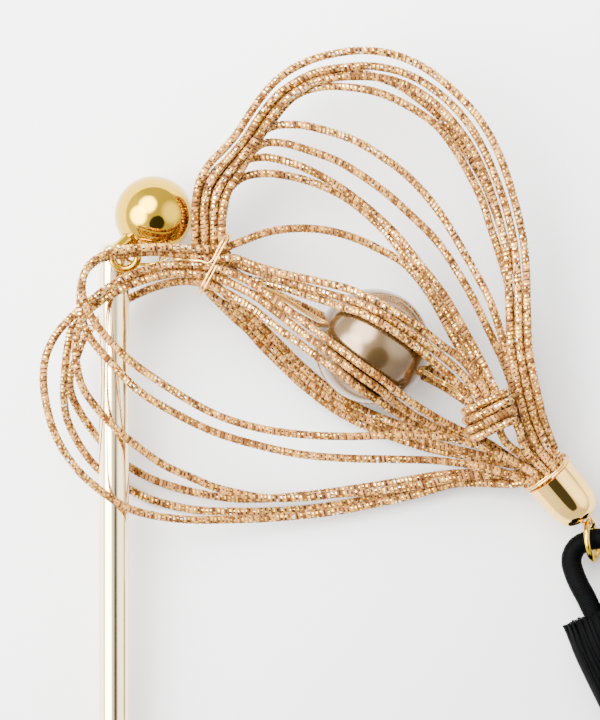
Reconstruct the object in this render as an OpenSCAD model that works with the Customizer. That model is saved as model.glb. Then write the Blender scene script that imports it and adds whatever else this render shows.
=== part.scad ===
// Hair stick with a looped paper-cord ornament, one pearl and a tassel.
// Millimetres. It lies on its back on the floor z = 0, the stick along Y.

/* [Stick] */
// Diameter of the round stick
stick_d = 3; // [2:0.1:5]
// Length of the stick with both its ends
stick_len = 138.5; // [100:0.5:180]
// Radius of the edge of the stick's flat top
top_edge = 0.8; // [0.2:0.1:1]
// Length of the slim end
taper_len = 26; // [10:1:60]
// Diameter of the slim end's round tip
tip_d = 1.8; // [1:0.1:3]
// Diameter of the ball
ball_d = 7.9; // [5:0.1:12]
// Diameter of the ball's neck
neck_d = 1.2; // [1:0.1:3]

/* [Cords] */
// Diameter of a paper cord
cord_d = 0.84; // [0.6:0.02:1.2]
// Distance between neighbouring cords in a bundle
cord_pitch = 0.9; // [0.7:0.02:1.4]
// Length between two rings of a cord
ring_step = 2.5; // [1.5:0.1:3]
// Diameter of the pearl's thread
thread_d = 0.5; // [0.3:0.05:0.8]
// Diameter of the thin gold wire
wire_d = 0.2; // [0.15:0.05:0.4]

/* [Pearl] */
// Diameter of the pearl
pearl_d = 11.6; // [6:0.1:16]
// Diameter of the pearl's hole
pearl_hole = 0.8; // [0.6:0.1:1.5]

/* [Cap] */
// Outer diameter of the end cap at its mouth
cap_d = 5.2; // [5:0.1:9]
// Wall of the end cap at its mouth
cap_wall = 0.26; // [0.26:0.02:0.6]
// Length of the end cap without its bail
cap_len = 5.7; // [4:0.1:10]

/* [Rings] */
// Outer diameter of the thick ring beside the ball
ring_top_d = 3.4; // [2.6:0.1:6]
// Wire of the thick ring beside the ball
ring_top_wire = 0.8; // [0.6:0.1:1.4]
// Wire of the thin link
link_wire = 0.35; // [0.2:0.05:0.6]
// Diameter of the tassel's ring
jump_d = 4.6; // [3:0.1:8]
// Wire of the tassel's ring
jump_wire = 0.6; // [0.4:0.1:1.4]

/* [Tassel] */
// Diameter of the tassel's black cord loop
loop_d = 2.1; // [1:0.1:4]
// Diameter of the tassel's head
head_d = 7.3; // [4:0.1:12]
// Length of the tassel's head down to its neck
head_len = 11; // [6:0.5:20]
// Length of the fringe below the neck
fringe_len = 44; // [20:1:80]
// Locks of the fringe
locks = 14; // [8:1:20]

/* [Hidden] */

// the middle of the whole part, counted from the point where the routes start
origin = [16.5, -53.5, 0];

gold = [0.86, 0.66, 0.28];
pale_gold = [0.85, 0.79, 0.68];
paper_cord = [0.80, 0.62, 0.45];
pearl_white = [0.88, 0.80, 0.66];
black = [0.05, 0.05, 0.055];

cord_sides = 8;
wire_sides = 6;

// stick: middle of its flat top, and how far it leans down to its tip
stick_top = [-18.7, 5.9, 5.2];
stick_lean = asin((stick_top.z - tip_d / 2) / (stick_len - tip_d / 2));
ball_at = [-14.7, 8.65, 5.4];
ring_top_at = [-17.6, 4.5, 7.1];

// the thin link through the thick ring: middle, half length, half width and lean
link_at = [-15.5, 4.4, 7.35];
link_long = 1.9;
link_short = 1.35;
link_lean = 58;

// where all cords meet, and the way the tie's turns follow each other
tie_at = [-8.66, 3.76, 7.2];
tie_turn = -28;

// pearl and the way its hole runs
pearl_at = [7.2, -4.5, 7.0];
pearl_turn = -26.5;

// knot: middle, the way the cords run through it and the way its turns lie across them
knot_at = [18.9, -11.43, 8.65];
knot_turn = -72;
knot_across = 29;

// cap: middle of its mouth, the way it points and how far it leans down
cap_at = [24.9, -17.4, 4.25];
cap_turn = -50;
cap_lean = 11.5;
// outside of the cap from its mouth to its end, as shares of its radius and length
cap_form = [[1, 0], [1, 0.25], [0.985, 0.5], [0.95, 0.68], [0.88, 0.81], [0.77, 0.91],
  [0.6, 0.975], [0.3, 1], [0, 1]];

// the cap's bail turned round the cap's way, and the ring that hangs in it
bail_turn = -38;
jump_at = [29.25, -24, 2.55];
jump_lean = 76;
jump_turn = 7;

// tassel: top of its head, the way it hangs, lying on the floor
head_at = [29.5, -31.2, 3.75];
tassel_turn = -65.2;

// places of the cords in the cap's mouth: across and up, in half pitches and rows
row_up = cord_pitch * sqrt(3) / 2;
function cap_slot(across, up, depth) =
  let(c = [cos(cap_lean) * cos(cap_turn), cos(cap_lean) * sin(cap_turn), -sin(cap_lean)],
      a = [-sin(cap_turn), cos(cap_turn), 0],
      u = cross(c, a))
  cap_at + a * across * cord_pitch / 2 + u * up * row_up + c * depth;

// routes of the left cords: x, y, z, from the cap round the left lobe to their far end
left_mouth = [[-2, 2], [-3, 1], [-4, 0], [-2, 0], [-2, -2], [-3, -1]];
left_1 = [[23.6, -17.4, 6.3], [22.8, -16.85, 6.45], [21.5, -16.15, 6.5], [20, -15.35, 6.6],
  [18.4, -14.65, 6.8], [17, -14.2, 7.05], [15.3, -13.8, 7.9], [13.5, -13.5, 9], [9, -13.4, 10.4],
  [4.5, -13.5, 11], [0, -13.3, 11.4], [-4.5, -12.6, 11.7], [-8.7, -11.2, 12], [-12.6, -9, 12.2],
  [-16.8, -6.1, 12.4], [-19.6, -3.3, 12.6], [-21.3, -0.7, 12.9], [-21.8, 1.7, 13],
  [-20.9, 3.8, 12.7], [-18.5, 5, 11.9], [-15, 5.4, 10.9], [-11.5, 5.3, 9.9], [-8.1, 5.25, 9.2],
  [-6.4, 5.8, 8.5], [-3, 7, 7.6], [1, 7.3, 6.8], [5, 6.5, 6], [9.3, 4.5, 4.95], [11.2, 3, 4.75],
  [13.2, 0.3, 4.9], [15.2, -3.4, 5.6], [16.8, -6.3, 6.5], [17.8, -8.4, 7.6], [18.5, -10.1, 8.25],
  [18.9, -11.4, 8.25], [19.1, -12.1, 8.25]];
left_2 = [[23, -17.95, 5.25], [22, -17.7, 5.4], [19.5, -16.9, 6.2], [16.5, -16.3, 7],
  [13, -15.9, 7.9], [9, -15.8, 8.6], [4.5, -15.7, 9.2], [0, -15.3, 9.8], [-4.2, -14.4, 10.3],
  [-8.5, -13.1, 10.7], [-12.5, -11.2, 11], [-16.2, -8.9, 11.2], [-19.2, -5.8, 11.3],
  [-20.9, -3.8, 11.5], [-21.8, -1.7, 11.7], [-22, 0.5, 11.9], [-21.6, 2.7, 11.7], [-20.4, 4, 11.2],
  [-18.8, 4.5, 10.8], [-16.5, 4.8, 10.2], [-14, 4.9, 9.6], [-11.6, 4.6, 9], [-8.5, 4.3, 8.9],
  [-6.5, 4.3, 9.1], [-4.5, 3.55, 9.5], [-1.5, 2.7, 10], [1.8, 1.98, 10.3], [4.5, 1.32, 10.7],
  [6.2, 0.65, 11.2], [8, -0.25, 11.8], [10, -1.5, 11.9], [12, -2.7, 11.2], [14, -4.3, 10.3],
  [16.2, -5.9, 9.6], [18.1, -8.3, 9.2], [18.9, -9.9, 9.05], [19.3, -11.3, 9.05],
  [19.85, -12.7, 8.9], [20.4, -13.9, 8.2], [21.2, -14.7, 7.3], [22.3, -15.45, 6.2],
  [23.4, -16.18, 4.8], [24.05, -16.57, 4.46]];
left_3 = [[22.74, -18, 4.32], [21.55, -18.3, 3.72], [19.5, -18.3, 3.05], [17.2, -18.2, 2.7],
  [15, -18.4, 2.5], [11.5, -19.4, 2.2], [8, -20.2, 2], [4, -21, 1.8], [0, -21.5, 1.9],
  [-4, -21.8, 2.3], [-7.5, -21.9, 2.9], [-11, -21.9, 3.9], [-14.5, -21.5, 5.2],
  [-17.5, -20.6, 6.5], [-20.2, -18.8, 7.6], [-22.6, -16.5, 8.6], [-24.4, -13.6, 9.4],
  [-25.3, -10.8, 10], [-25.7, -7.8, 10.3], [-25.4, -5.4, 10.4], [-24.4, -3.3, 10.3],
  [-22.8, -1.5, 10.1], [-21.2, -0.1, 9.9], [-19.5, 1.2, 9.8], [-17.5, 2.4, 9.5], [-15, 3.3, 9.2],
  [-12, 3.7, 9], [-8.9, 3.4, 8.8], [-7.2, 2.9, 9], [-5, 1.9, 9.4], [-2.5, 0.1, 10],
  [0, -1.8, 10.7], [1.2, -2.7, 11.3], [2.5, -3.7, 11.9], [4, -4.8, 12.6], [6, -6.3, 13],
  [8, -7.7, 12.5], [10, -9.3, 11], [12, -10.7, 9], [14, -11.9, 7.3], [16.2, -13, 6.3],
  [18.5, -14, 5.8], [20.8, -15.5, 5.5], [22.6, -16.72, 5.34], [23.5, -17.05, 5.45]];
left_4 = [[23.3, -17.2, 4.42], [22.2, -17.2, 4.1], [20, -17.4, 3.75], [17.5, -17.5, 3.4],
  [15, -17.8, 3.3], [11.5, -18.5, 3.1], [8, -19, 2.9], [4, -19.3, 2.7], [0, -19.7, 2.5],
  [-3.5, -19.7, 2.6], [-6, -19.3, 2.9], [-8.7, -18.6, 3.5], [-11.3, -17.5, 4.4],
  [-13.7, -16.4, 5.3], [-16, -14.8, 6.1], [-18.2, -13, 6.9], [-20.3, -10.8, 7.6],
  [-21.8, -8.6, 8.2], [-22.4, -6.2, 8.6], [-22.5, -4.2, 8.8], [-22.1, -2.5, 9], [-21.2, -1, 9.1],
  [-19.7, 0.2, 9.2], [-17.5, 1.4, 9.1], [-15, 2.3, 9], [-12, 2.8, 8.9], [-9.3, 2.55, 8.8],
  [-7.4, 1.95, 8.9], [-5, 0.8, 9.2], [-2.5, -1, 9.8], [0, -3, 10.5], [2, -4.5, 11.5],
  [4, -6, 12.3], [6, -7.5, 12.5], [8, -8.9, 11.6], [10, -10.5, 9.7], [12, -11.8, 7.8],
  [14, -12.8, 6.3], [16.2, -13.7, 5.4], [17.6, -14.2, 5]];
left_5 = [[23.3, -17.13, 2.84], [22.1, -17.57, 2.16], [19.8, -18, 1.6], [17.5, -18, 1.4],
  [15, -18.2, 1.3], [11.5, -18.9, 1.1], [8, -19.6, 0.8], [4, -20.4, 0.6], [0, -20.9, 0.5],
  [-4, -21.1, 0.5], [-7, -21.1, 0.47], [-10, -21, 0.45], [-12.5, -20.6, 0.45],
  [-15, -19.9, 0.45], [-17, -19, 0.5], [-18.8, -18.1, 0.9], [-20.8, -16.3, 2.6], [-22.3, -14.2, 3.8],
  [-23.4, -11.8, 5.2], [-23.7, -9.5, 6.4], [-23.6, -7, 7.2], [-23.3, -4.5, 7.7],
  [-22.8, -2.5, 7.9], [-21.6, -0.8, 8.1], [-19.7, 0.6, 8.2], [-17.5, 1.8, 8.1], [-15, 2.8, 8],
  [-12, 3.2, 7.9], [-10.4, 3.1, 7.9]];
left_6 = [[22.8, -17.5, 3.45], [21.8, -17.6, 3.1], [19.3, -17.3, 2.65], [16.5, -17.2, 2.3],
  [14, -17.4, 2.1], [11.5, -17.8, 2], [8, -18.4, 1.8], [4, -19, 1.6], [0, -19.5, 1.5],
  [-3.5, -19.8, 1.4], [-6.5, -19.8, 1.3], [-9.5, -19.4, 1.3], [-12.5, -18.7, 1.3],
  [-15, -17.8, 1.4], [-17.2, -16.6, 1.7], [-19, -15.1, 2.1], [-20.7, -13.2, 2.7],
  [-22.2, -11, 3.6], [-23, -9.2, 4.3], [-23.1, -7.5, 4.6], [-22.5, -5.7, 4.4], [-21.6, -3.5, 3.7],
  [-20.2, -1.8, 2.8], [-18.7, -0.6, 2.6], [-17, 0.4, 3.3], [-15, 1.3, 4.5], [-12.8, 1.9, 6.2],
  [-11, 2, 7.7], [-9.7, 1.75, 8.6], [-8.1, 1.2, 8.8], [-6.6, 0.4, 8.9], [-4.8, -0.7, 9.1],
  [-2.4, -2.6, 9.7], [0, -4.3, 10.4], [2, -5.8, 11.2], [4, -7.2, 11.9], [6, -8.8, 11.5],
  [8, -10.1, 9.9], [10, -11.4, 7.9], [12, -12.5, 6.2], [14, -13.3, 5], [15.6, -13.8, 4.5]];

// routes of the right cords: x, y, z, from the cap or the knot over the top to their far end
right_mouth = [[4, 0], [3, 1], [2, 2], [3, -1], [2, 0], [1, 1], [1, -1]];
right_1 = [[25.5, -14.8, 5], [24.6, -12.5, 6.05], [23.9, -10, 6.9], [22.9, -5, 7.2],
  [22.7, -1, 7.4], [22.5, 4.5, 7.6], [21.7, 9, 7.8], [20, 14.4, 8], [18, 18.1, 8], [15.5, 20.9, 8],
  [12.5, 23.3, 8], [9.3, 24.7, 8], [6, 25.1, 8], [2.5, 24.6, 8], [-0.2, 23.6, 8], [-2.2, 22.3, 8],
  [-3.7, 20.7, 8], [-5.2, 18.6, 8], [-6.35, 16.8, 8.1], [-7.65, 15.25, 8.1], [-8.9, 14, 8.1],
  [-10, 12.3, 8.1], [-10.5, 10, 8], [-10.6, 7.5, 7.6], [-10.5, 5.5, 7.1], [-10.3, 3.8, 7],
  [-9.87, 1.96, 6.96], [-8.55, 0.35, 6.35], [-6.6, -0.9, 5.5], [-5.3, -2, 4.95], [-4, -3.35, 4.3],
  [-2.7, -4.65, 3.75], [-1.5, -5.8, 3.3], [-0.2, -7.1, 3], [1.2, -8.3, 2.9], [2.4, -9.3, 2.8],
  [4.5, -10.7, 2.6], [7, -11.9, 2.5], [9.5, -12.9, 2.6], [13.5, -14.25, 2.9], [16, -14.9, 3.1],
  [18.5, -15.5, 3.3], [21, -16, 3.4], [22.6, -16.2, 3.5], [23.75, -16.75, 3.68]];
right_2 = [[24.75, -14.7, 6], [23.75, -12.5, 6.5], [23, -10, 6.9], [22, -5, 7.2], [21.8, -1, 7.4],
  [21.6, 4, 7.6], [20.8, 8.5, 7.8], [19.4, 12.7, 8], [18, 15.8, 8], [16.3, 18.4, 8], [14, 20.7, 8],
  [11, 22.6, 8], [7.5, 23.5, 8], [4, 23.4, 8], [1.2, 22.8, 8], [-1.2, 21.5, 8], [-2.7, 20.25, 8],
  [-4.2, 18.35, 8], [-5.4, 16.5, 8.1], [-6.65, 14.95, 8.1], [-8, 13.4, 8.1], [-9.15, 11.6, 8.1],
  [-9.6, 9.5, 8], [-9.6, 7.2, 7.5], [-9.55, 5.4, 7.1], [-9.4, 3.8, 7], [-8.9, 2.3, 7.05],
  [-7.6, 0.8, 6.6], [-6.2, -0.4, 6.2], [-5.3, -1.1, 5.8], [-4, -2.35, 5.1], [-2.7, -3.65, 4.55],
  [-1.5, -4.85, 4.1], [-0.2, -6.15, 3.7], [1.2, -7.4, 3.5], [2.4, -8.4, 3.4], [4.5, -9.9, 3.2],
  [7, -11.2, 3.1], [9.5, -12.2, 3.2], [12.5, -13.1, 3.5]];
right_3 = [[23.95, -14.9, 6.6], [22.8, -12.5, 6.75], [22.1, -10, 6.9], [21.1, -5, 7.2],
  [20.9, -1, 7.4], [20.7, 4, 7.6], [19.75, 8.7, 7.8], [17.8, 14.1, 8], [15.3, 17.9, 8],
  [12.4, 20.6, 8], [9, 22.2, 8], [5, 22.5, 8], [2, 22.1, 8], [0.1, 21.3, 8], [-1.35, 20.25, 8],
  [-2.75, 18.65, 8], [-3.8, 17.15, 8], [-4.9, 15.65, 8.1], [-6.15, 14.1, 8.1], [-7.35, 12.6, 8.1],
  [-8.3, 11, 8.1], [-8.65, 9.3, 8], [-8.65, 7.2, 7.5], [-8.6, 5.4, 7.1], [-8.3, 4.2, 7],
  [-7.4, 3.2, 7.1], [-5.7, 2.4, 7.5], [-3.8, 1.9, 8.1], [-1.5, 1.3, 8.7], [0.5, 0.65, 9.15],
  [2.5, 0, 9.9], [4.2, -0.6, 11.2], [6, -1.15, 12.4], [8, -2.2, 13], [10, -3.45, 12.8],
  [12, -4.95, 11.5], [13.8, -6.5, 10.4], [15.5, -8, 9.7], [16.7, -9.6, 9.15], [17.33, -10.8, 9.05],
  [17.7, -12.15, 9.05], [18, -13, 9]];
right_4 = [[24.95, -14.9, 4.05], [24.1, -12.5, 5.1], [23.45, -10, 6.05], [22.45, -5, 6.35],
  [22.2, -1, 6.55], [21.6, 3, 6.7], [20.4, 6.4, 6.85], [19.2, 9.8, 7], [18, 12.6, 7.1],
  [16, 15.8, 7.15], [14, 18.4, 7.15], [12, 20.1, 7.15], [10, 21.5, 7.15], [7.5, 22.5, 7.1],
  [5, 22.9, 7.15], [2.5, 22.6, 7.2], [0.3, 21.9, 7.2], [-1.4, 20.9, 7.1], [-2.6, 19.9, 7.1],
  [-3.6, 18.65, 7.1], [-4.6, 17.2, 7.15], [-5.6, 15.8, 7.25], [-6.9, 14.5, 7.2], [-8.5, 13.1, 7.1],
  [-9.65, 11.6, 7.1], [-10.1, 9.7, 7.1], [-10.1, 7.2, 6.6], [-10.05, 5.4, 6.2], [-9.9, 3.8, 6.1],
  [-9.68, 2.2, 6], [-9.24, 1.02, 5.73], [-8.54, 0.22, 5.38], [-6.6, -1.7, 4.6], [-5.3, -2.85, 4],
  [-4, -4.35, 3.4], [-2.7, -5.65, 2.9], [-1.5, -6.8, 2.6], [-0.2, -8.05, 2.45], [1.2, -9.2, 2.25],
  [2.4, -10.15, 2.1], [4.5, -11.5, 1.9], [7, -12.7, 1.85], [9.5, -13.7, 1.9], [13, -14.8, 2.1],
  [16, -15.4, 2.2], [19, -16, 2.2], [21.5, -16.4, 2.3], [23.2, -16.35, 2.5],
  [23.95, -16.35, 2.75]];
right_5 = [[24.4, -15, 4.85], [23.2, -12.5, 5.6], [22.55, -10, 6.05], [21.55, -5, 6.35],
  [21.3, -1, 6.5], [20.7, 2, 6.6], [19.9, 4.8, 6.9], [19, 7.5, 7.4], [18, 10.5, 7.7],
  [16, 14.3, 8], [14, 17.2, 8], [12, 18.8, 8], [9.5, 20.2, 8], [7, 21.1, 8], [4, 21.5, 7.6],
  [2, 21.45, 7.2], [0.3, 21, 6.9], [-1, 20.2, 6.7], [-2.1, 19, 6.75], [-3.1, 17.7, 7.1],
  [-4.1, 16.4, 7.2], [-5, 14.9, 7.3], [-5.9, 13.2, 7.5], [-6.85, 11.8, 7.9], [-7.45, 10.5, 8.08],
  [-7.75, 9.2, 8], [-7.84, 7.6, 8.06], [-7.88, 6.4, 7.84],
  [-7.6, 5.4, 7.3], [-7.2, 4.5, 7.15], [-6.4, 3.8, 7.4],
  [-4.8, 3.1, 8.3], [-2, 2.2, 9.1], [0, 1.55, 9.6], [2, 0.98, 10.2], [4, 0.4, 10.8],
  [6, -0.25, 11.9], [8, -1.2, 12.5], [10, -2.5, 12.4], [12, -3.9, 11.25], [14, -5.4, 10.3],
  [16, -7.15, 9.7], [17.4, -8.9, 9.2], [18.13, -10.4, 9.05], [18.5, -11.7, 9.05], [18.8, -12.7, 9]];
right_6 = [[24.4, -16, 5.35], [23.74, -15.3, 5.42], [22.7, -13.8, 5.25], [22.2, -12, 5.1],
  [21.7, -10, 5.4], [21.1, -7.5, 5.8], [20.5, -4.7, 6.1], [19, 0, 6.2], [17, 3.8, 6.2],
  [14, 8.8, 6.3], [11, 12.3, 6.4], [8, 14.6, 6.6], [5, 16.3, 6.8], [1, 17.5, 6.9], [-1, 17.7, 6.7],
  [-2.5, 17.6, 6.3], [-3.9, 17, 6.2], [-5.1, 16, 6.15], [-6.3, 14.7, 6.2], [-7.5, 13.2, 6.5],
  [-8.6, 11.5, 7], [-9.1, 9.5, 7.1], [-9.1, 7.2, 6.6], [-9, 5.4, 6.2], [-8.7, 3.8, 6.1],
  [-7.8, 2.4, 5.9], [-6.2, 1.4, 5.6], [-4.2, 0.5, 5], [-2, -0.6, 4.2], [0.3, -1.8, 2.8],
  [2.5, -2.9, 1.5], [5, -4.1, 0.72], [7.8, -5.5, 0.72], [10.2, -6.7, 1.6], [12.2, -7.47, 2.9],
  [14.2, -8.48, 4.4], [15.8, -9.5, 5.7], [16.8, -10.2, 6.1]];
right_7 = [[24.25, -16, 3.7], [23.5, -15, 3.85], [22.4, -13, 4.1], [21.7, -10.8, 4.35],
  [21.2, -8.5, 4.7], [20.4, -6.2, 5.2], [18.9, -3, 5.6], [16.9, 1, 5.8], [14, 5.6, 6],
  [11, 8.7, 6.2], [8, 11.3, 6.4], [4, 13.9, 6.6], [0, 15.4, 6.7], [-2.2, 15.9, 6.5],
  [-4, 15.7, 6.4], [-5.5, 14.2, 6.45], [-6.6, 12.6, 6.8], [-7.7, 11, 7.05], [-8.15, 9.4, 7.1],
  [-8.2, 7.2, 6.6], [-8, 5.4, 6.2], [-7.6, 4.2, 6.1], [-6.6, 3, 5.9], [-5, 2, 5.5], [-3, 1, 4.9],
  [-0.8, 0, 4], [1.5, -1.1, 2.7], [3.8, -2.2, 1.2], [6.2, -3.4, 0.72], [8.8, -4.6, 0.72],
  [11, -5.8, 1.9], [12.8, -6.65, 3.1], [14.6, -7.62, 4.6], [16.4, -8.7, 5.8], [17.2, -9.25, 6.1]];
right_8 = [[20.53, -12.1, 9.05], [20.08, -10.85, 9.05], [19.7, -9.5, 9.05], [19.1, -8.1, 8.8],
  [18, -5.8, 8.1], [16.3, -2.7, 7.4], [14.4, 0.6, 6.9], [12, 3.7, 6.5], [9, 7.3, 6.35],
  [5, 10.7, 6.4], [1, 13.1, 6.5], [-2.5, 14.3, 6.2], [-4.5, 14.4, 5.6], [-6, 13.9, 5.45],
  [-7.2, 13, 5.5], [-8.2, 11.4, 5.9], [-8.7, 9.6, 6.1], [-8.82, 7.2, 5.65], [-8.85, 5.4, 5.3],
  [-8.85, 4.2, 5.2]];
right_9 = [[19.9, -11.7, 8.25], [19.7, -11, 8.25], [19.3, -9.7, 8.2], [18.85, -8.4, 7.8],
  [17.75, -6.35, 7.1], [16.4, -4, 6.5], [14.7, -1.2, 6], [12.5, 1.8, 5.75], [10.5, 4.5, 5.6],
  [8, 7.5, 5.4], [4.5, 10.4, 5.5], [1, 12, 5.9], [-2, 12.7, 6.3], [-4, 12.8, 6.3],
  [-5.8, 12.4, 6.1], [-7.1, 11.3, 6.1], [-7.6, 9.6, 6.15], [-7.85, 8.1, 5.65], [-8, 6.9, 5.35],
  [-8, 5.6, 5.15], [-8, 4.6, 5.1]];

// route of the pearl's thread outside its hole
thread_in = [[-3.8, 1.3, 7.3], [-1.7, 0.3, 7.2]];
thread_out = [[13.5, -7.8, 5.7], [14.4, -8.2, 5.4], [15.3, -8.75, 6.05], [16.2, -9.4, 6.65], [17, -9.95, 7]];

// routes of the tassel's loop, from the head and back to it
loop_route = [[29.91, -32.33, 3.75], [29.45, -31.33, 3.75], [29.03, -30.5, 3.72],
  [28.6, -29.6, 3.65], [28, -28.5, 3.5], [27.45, -27.2, 3.1], [27.2, -25.9, 2.65],
  [27.7, -24.7, 2.35], [28.8, -24.05, 2.4], [30.05, -23.8, 2.95], [31.3, -24, 3.55],
  [32.15, -24.8, 3.85], [32.4, -26.1, 3.9], [32.2, -27.5, 3.85], [31.6, -28.5, 3.78],
  [31.15, -29.1, 3.74], [31.1, -29.75, 3.73], [31.4, -30.43, 3.75], [31.86, -31.43, 3.75]];

// shared functions
function unit(v) = v / norm(v);
function last(p) = p[len(p) - 1];
function curve(a, b, c, d, t) =
  0.5 * (2 * b + (c - a) * t + (2 * a - 5 * b + 4 * c - d) * t * t
  + (3 * b - a - 3 * c + d) * t * t * t);
// smooth path through the points, one ring about every step
function smooth(p, step) =
  [for (i = [0 : len(p) - 2])
    let(a = p[max(i - 1, 0)], d = p[min(i + 2, len(p) - 1)],
        n = max(1, round(norm(p[i + 1] - p[i]) / step)))
    for (k = [0 : n - 1]) curve(a, p[i], p[i + 1], d, k / n), last(p)];
// every second or third point of a fine path, so that rings are evenly spaced
function lengths(p) =
  [for (i = 0, s = 0; i < len(p);
    s = i < len(p) - 1 ? s + norm(p[i + 1] - p[i]) : s, i = i + 1) s];
function at(p, s, d, i) = s[i + 1] >= d || i >= len(p) - 2
  ? p[i] + (p[i + 1] - p[i]) * (d - s[i]) / (s[i + 1] - s[i]) : at(p, s, d, i + 1);
function even(p, step) =
  let(s = lengths(p), n = max(2, round(last(s) / step)))
  [for (k = [0 : n]) at(p, s, last(s) * k / n, 0)];
// a cord's rings, with one more before each of those named, where it leaves the cap
function rings(p, closer) =
  let(s = lengths(p), n = round(last(s) / ring_step))
  [for (k = [0 : n]) each [for (part = len(search(k, closer)) > 0 ? [k - 0.35, k] : [k])
    at(p, s, last(s) * part / n, 0)]];
function tangents(p) =
  [for (i = [0 : len(p) - 1]) unit(p[min(i + 1, len(p) - 1)] - p[max(i - 1, 0)])];
function normals(t) =
  [for (i = 0, n = unit(cross(t[0], abs(t[0].z) < 0.9 ? [0, 0, 1] : [1, 0, 0])); i < len(t);
    i = i + 1, n = i < len(t) ? unit(n - (n * t[i]) * t[i]) : n) n];
function power(v, e) = sign(v) * pow(abs(v), e);

// closed tube round a path
module tube(path, r, sides) {
  t = tangents(path);
  n = normals(t);
  rows = len(path);
  points = [for (i = [0 : rows - 1]) for (k = [0 : sides - 1])
    path[i] + r * (cos(360 * k / sides) * n[i] + sin(360 * k / sides) * cross(t[i], n[i]))];
  faces = [
    [for (k = [0 : sides - 1]) k],
    [for (k = [0 : sides - 1]) rows * sides - 1 - k],
    for (i = [0 : rows - 2]) for (k = [0 : sides - 1])
      [i * sides + k, (i + 1) * sides + k,
       (i + 1) * sides + (k + 1) % sides, i * sides + (k + 1) % sides]];
  polyhedron(points, faces);
}

// paper cord along a route, its ends led into places of the cap's mouth
module cord(route, mouth, far) {
  start = is_undef(mouth) ? [] : [for (d = [3, 1, -0.4]) cap_slot(mouth[0], mouth[1], d)];
  end = is_undef(far) ? [] : [for (d = [-0.4, 1, 3]) cap_slot(far[0], far[1], d)];
  color(paper_cord) translate(-origin)
    tube(rings(smooth(concat(start, route, end), 0.5), is_undef(mouth) ? [] : [2]), cord_d / 2,
      cord_sides);
}

// closed ring of round wire, its long and short half widths inside a tilted frame
module oval_ring(long_r, short_r, wire, count, sides) {
  points = [for (i = [0 : count - 1]) let(a = 360 * i / count,
      c = [long_r * cos(a), short_r * sin(a), 0],
      n = unit([short_r * cos(a), long_r * sin(a), 0]))
    for (k = [0 : sides - 1]) c + wire / 2 * (cos(360 * k / sides) * n
      + sin(360 * k / sides) * [0, 0, 1])];
  faces = [for (i = [0 : count - 1]) for (k = [0 : sides - 1])
    [i * sides + k, i * sides + (k + 1) % sides,
     ((i + 1) % count) * sides + (k + 1) % sides, ((i + 1) % count) * sides + k]];
  polyhedron(points, faces);
}

module stick() {
  r = stick_d / 2;
  tip_r = tip_d / 2;
  run = stick_len - tip_r;
  edge = [for (a = [0 : 15 : 90]) [r - top_edge * (1 - sin(a)), top_edge * (1 - cos(a))]];
  tip = [for (a = [0 : 15 : 75]) [tip_r * cos(a), run + tip_r * sin(a)]];
  color(pale_gold) translate(stick_top - origin) rotate([90 + stick_lean, 0, 0])
    rotate_extrude($fn = 48)
      polygon(concat([[0, 0]], edge, [[r, run - taper_len]], tip, [[0, stick_len]]));
}

// ball, neck and thick ring, soldered to each other
module ball_top() {
  neck_from = ring_top_at + [-0.6, 0.85, 0.55];
  way = ball_at - neck_from;
  turn = atan2(way.y, way.x);
  lean = acos(way.z / norm(way));
  color(gold) translate(-origin) {
    translate(ball_at) sphere(ball_d / 2, $fn = 64);
    translate(neck_from) rotate([0, lean, turn]) {
      sphere(neck_d / 2, $fn = 32);
      cylinder(r1 = neck_d / 2, r2 = neck_d / 2 + 0.2, h = norm(way), $fn = 32);
    }
    translate(ring_top_at) rotate_extrude($fn = 48)
      translate([(ring_top_d - ring_top_wire) / 2, 0]) circle(ring_top_wire / 2, $fn = 20);
  }
}

module ring_link() {
  color(gold) translate(link_at - origin) rotate([link_lean, 0, 0])
    oval_ring(link_long, link_short, link_wire, 24, 6);
}

// turns round a bundle: along it, across it and up
function turns(count, steps, half_across, half_up, pitch, power_of, start) =
  [for (i = [0 : count * steps]) let(a = start + 360 * i / steps)
    [pitch * i / steps, half_across * power(cos(a), power_of), half_up * power(sin(a), power_of)]];
// the same turns, fuller in the middle of their length
function bulged(p, share_across, share_up) =
  let(half = last(p).x / 2)
  [for (q = p) let(u = q.x / half - 1)
    [q.x, q.y * (1 + share_across * (1 - u * u)), q.z * (1 + share_up * (1 - u * u))]];
// turns set at a point, their length along one direction and their width along another
function place(p, along, across, middle, back) =
  [for (q = p) middle + [(q.x - back) * cos(along) + q.y * cos(across),
    (q.x - back) * sin(along) + q.y * sin(across), q.z]];

module tie_wire() {
  rounds = 2;
  pitch = wire_d + 0.16;
  hook = [[-13.1, 4.35, 8.3], [-13.6, 4.1, 8.2], [-14.05, 4.05, 7.8], [-14.1, 4.3, 7.25],
    [-13.65, 4.7, 6.9], [-13.05, 4.65, 7.1], [-12.8, 4.35, 7.9], [-12.7, 4.2, 9.2],
    [-12.2, 4.2, 9.85], [-11, 4.1, 9.75], [-10, 4.05, 9.95]];
  loops = place(turns(rounds, 18, -3.42, 2.9, pitch, 0.5, 90), tie_turn, tie_turn + 90,
    tie_at, rounds * pitch / 2);
  color(gold) translate(-origin)
    tube(concat(even(smooth(hook, 0.3), 0.45), loops), wire_d / 2, wire_sides);
}

module left_cord_1() { cord(left_1, left_mouth[0]); }
module left_cord_2() { cord(left_2, left_mouth[1], [0, 0]); }
module left_cord_3() { cord(left_3, left_mouth[2], [-1, 1]); }
module left_cord_4() { cord(left_4, left_mouth[3]); }
module left_cord_5() { cord(left_5, left_mouth[4]); }
module left_cord_6() { cord(left_6, left_mouth[5]); }

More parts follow.
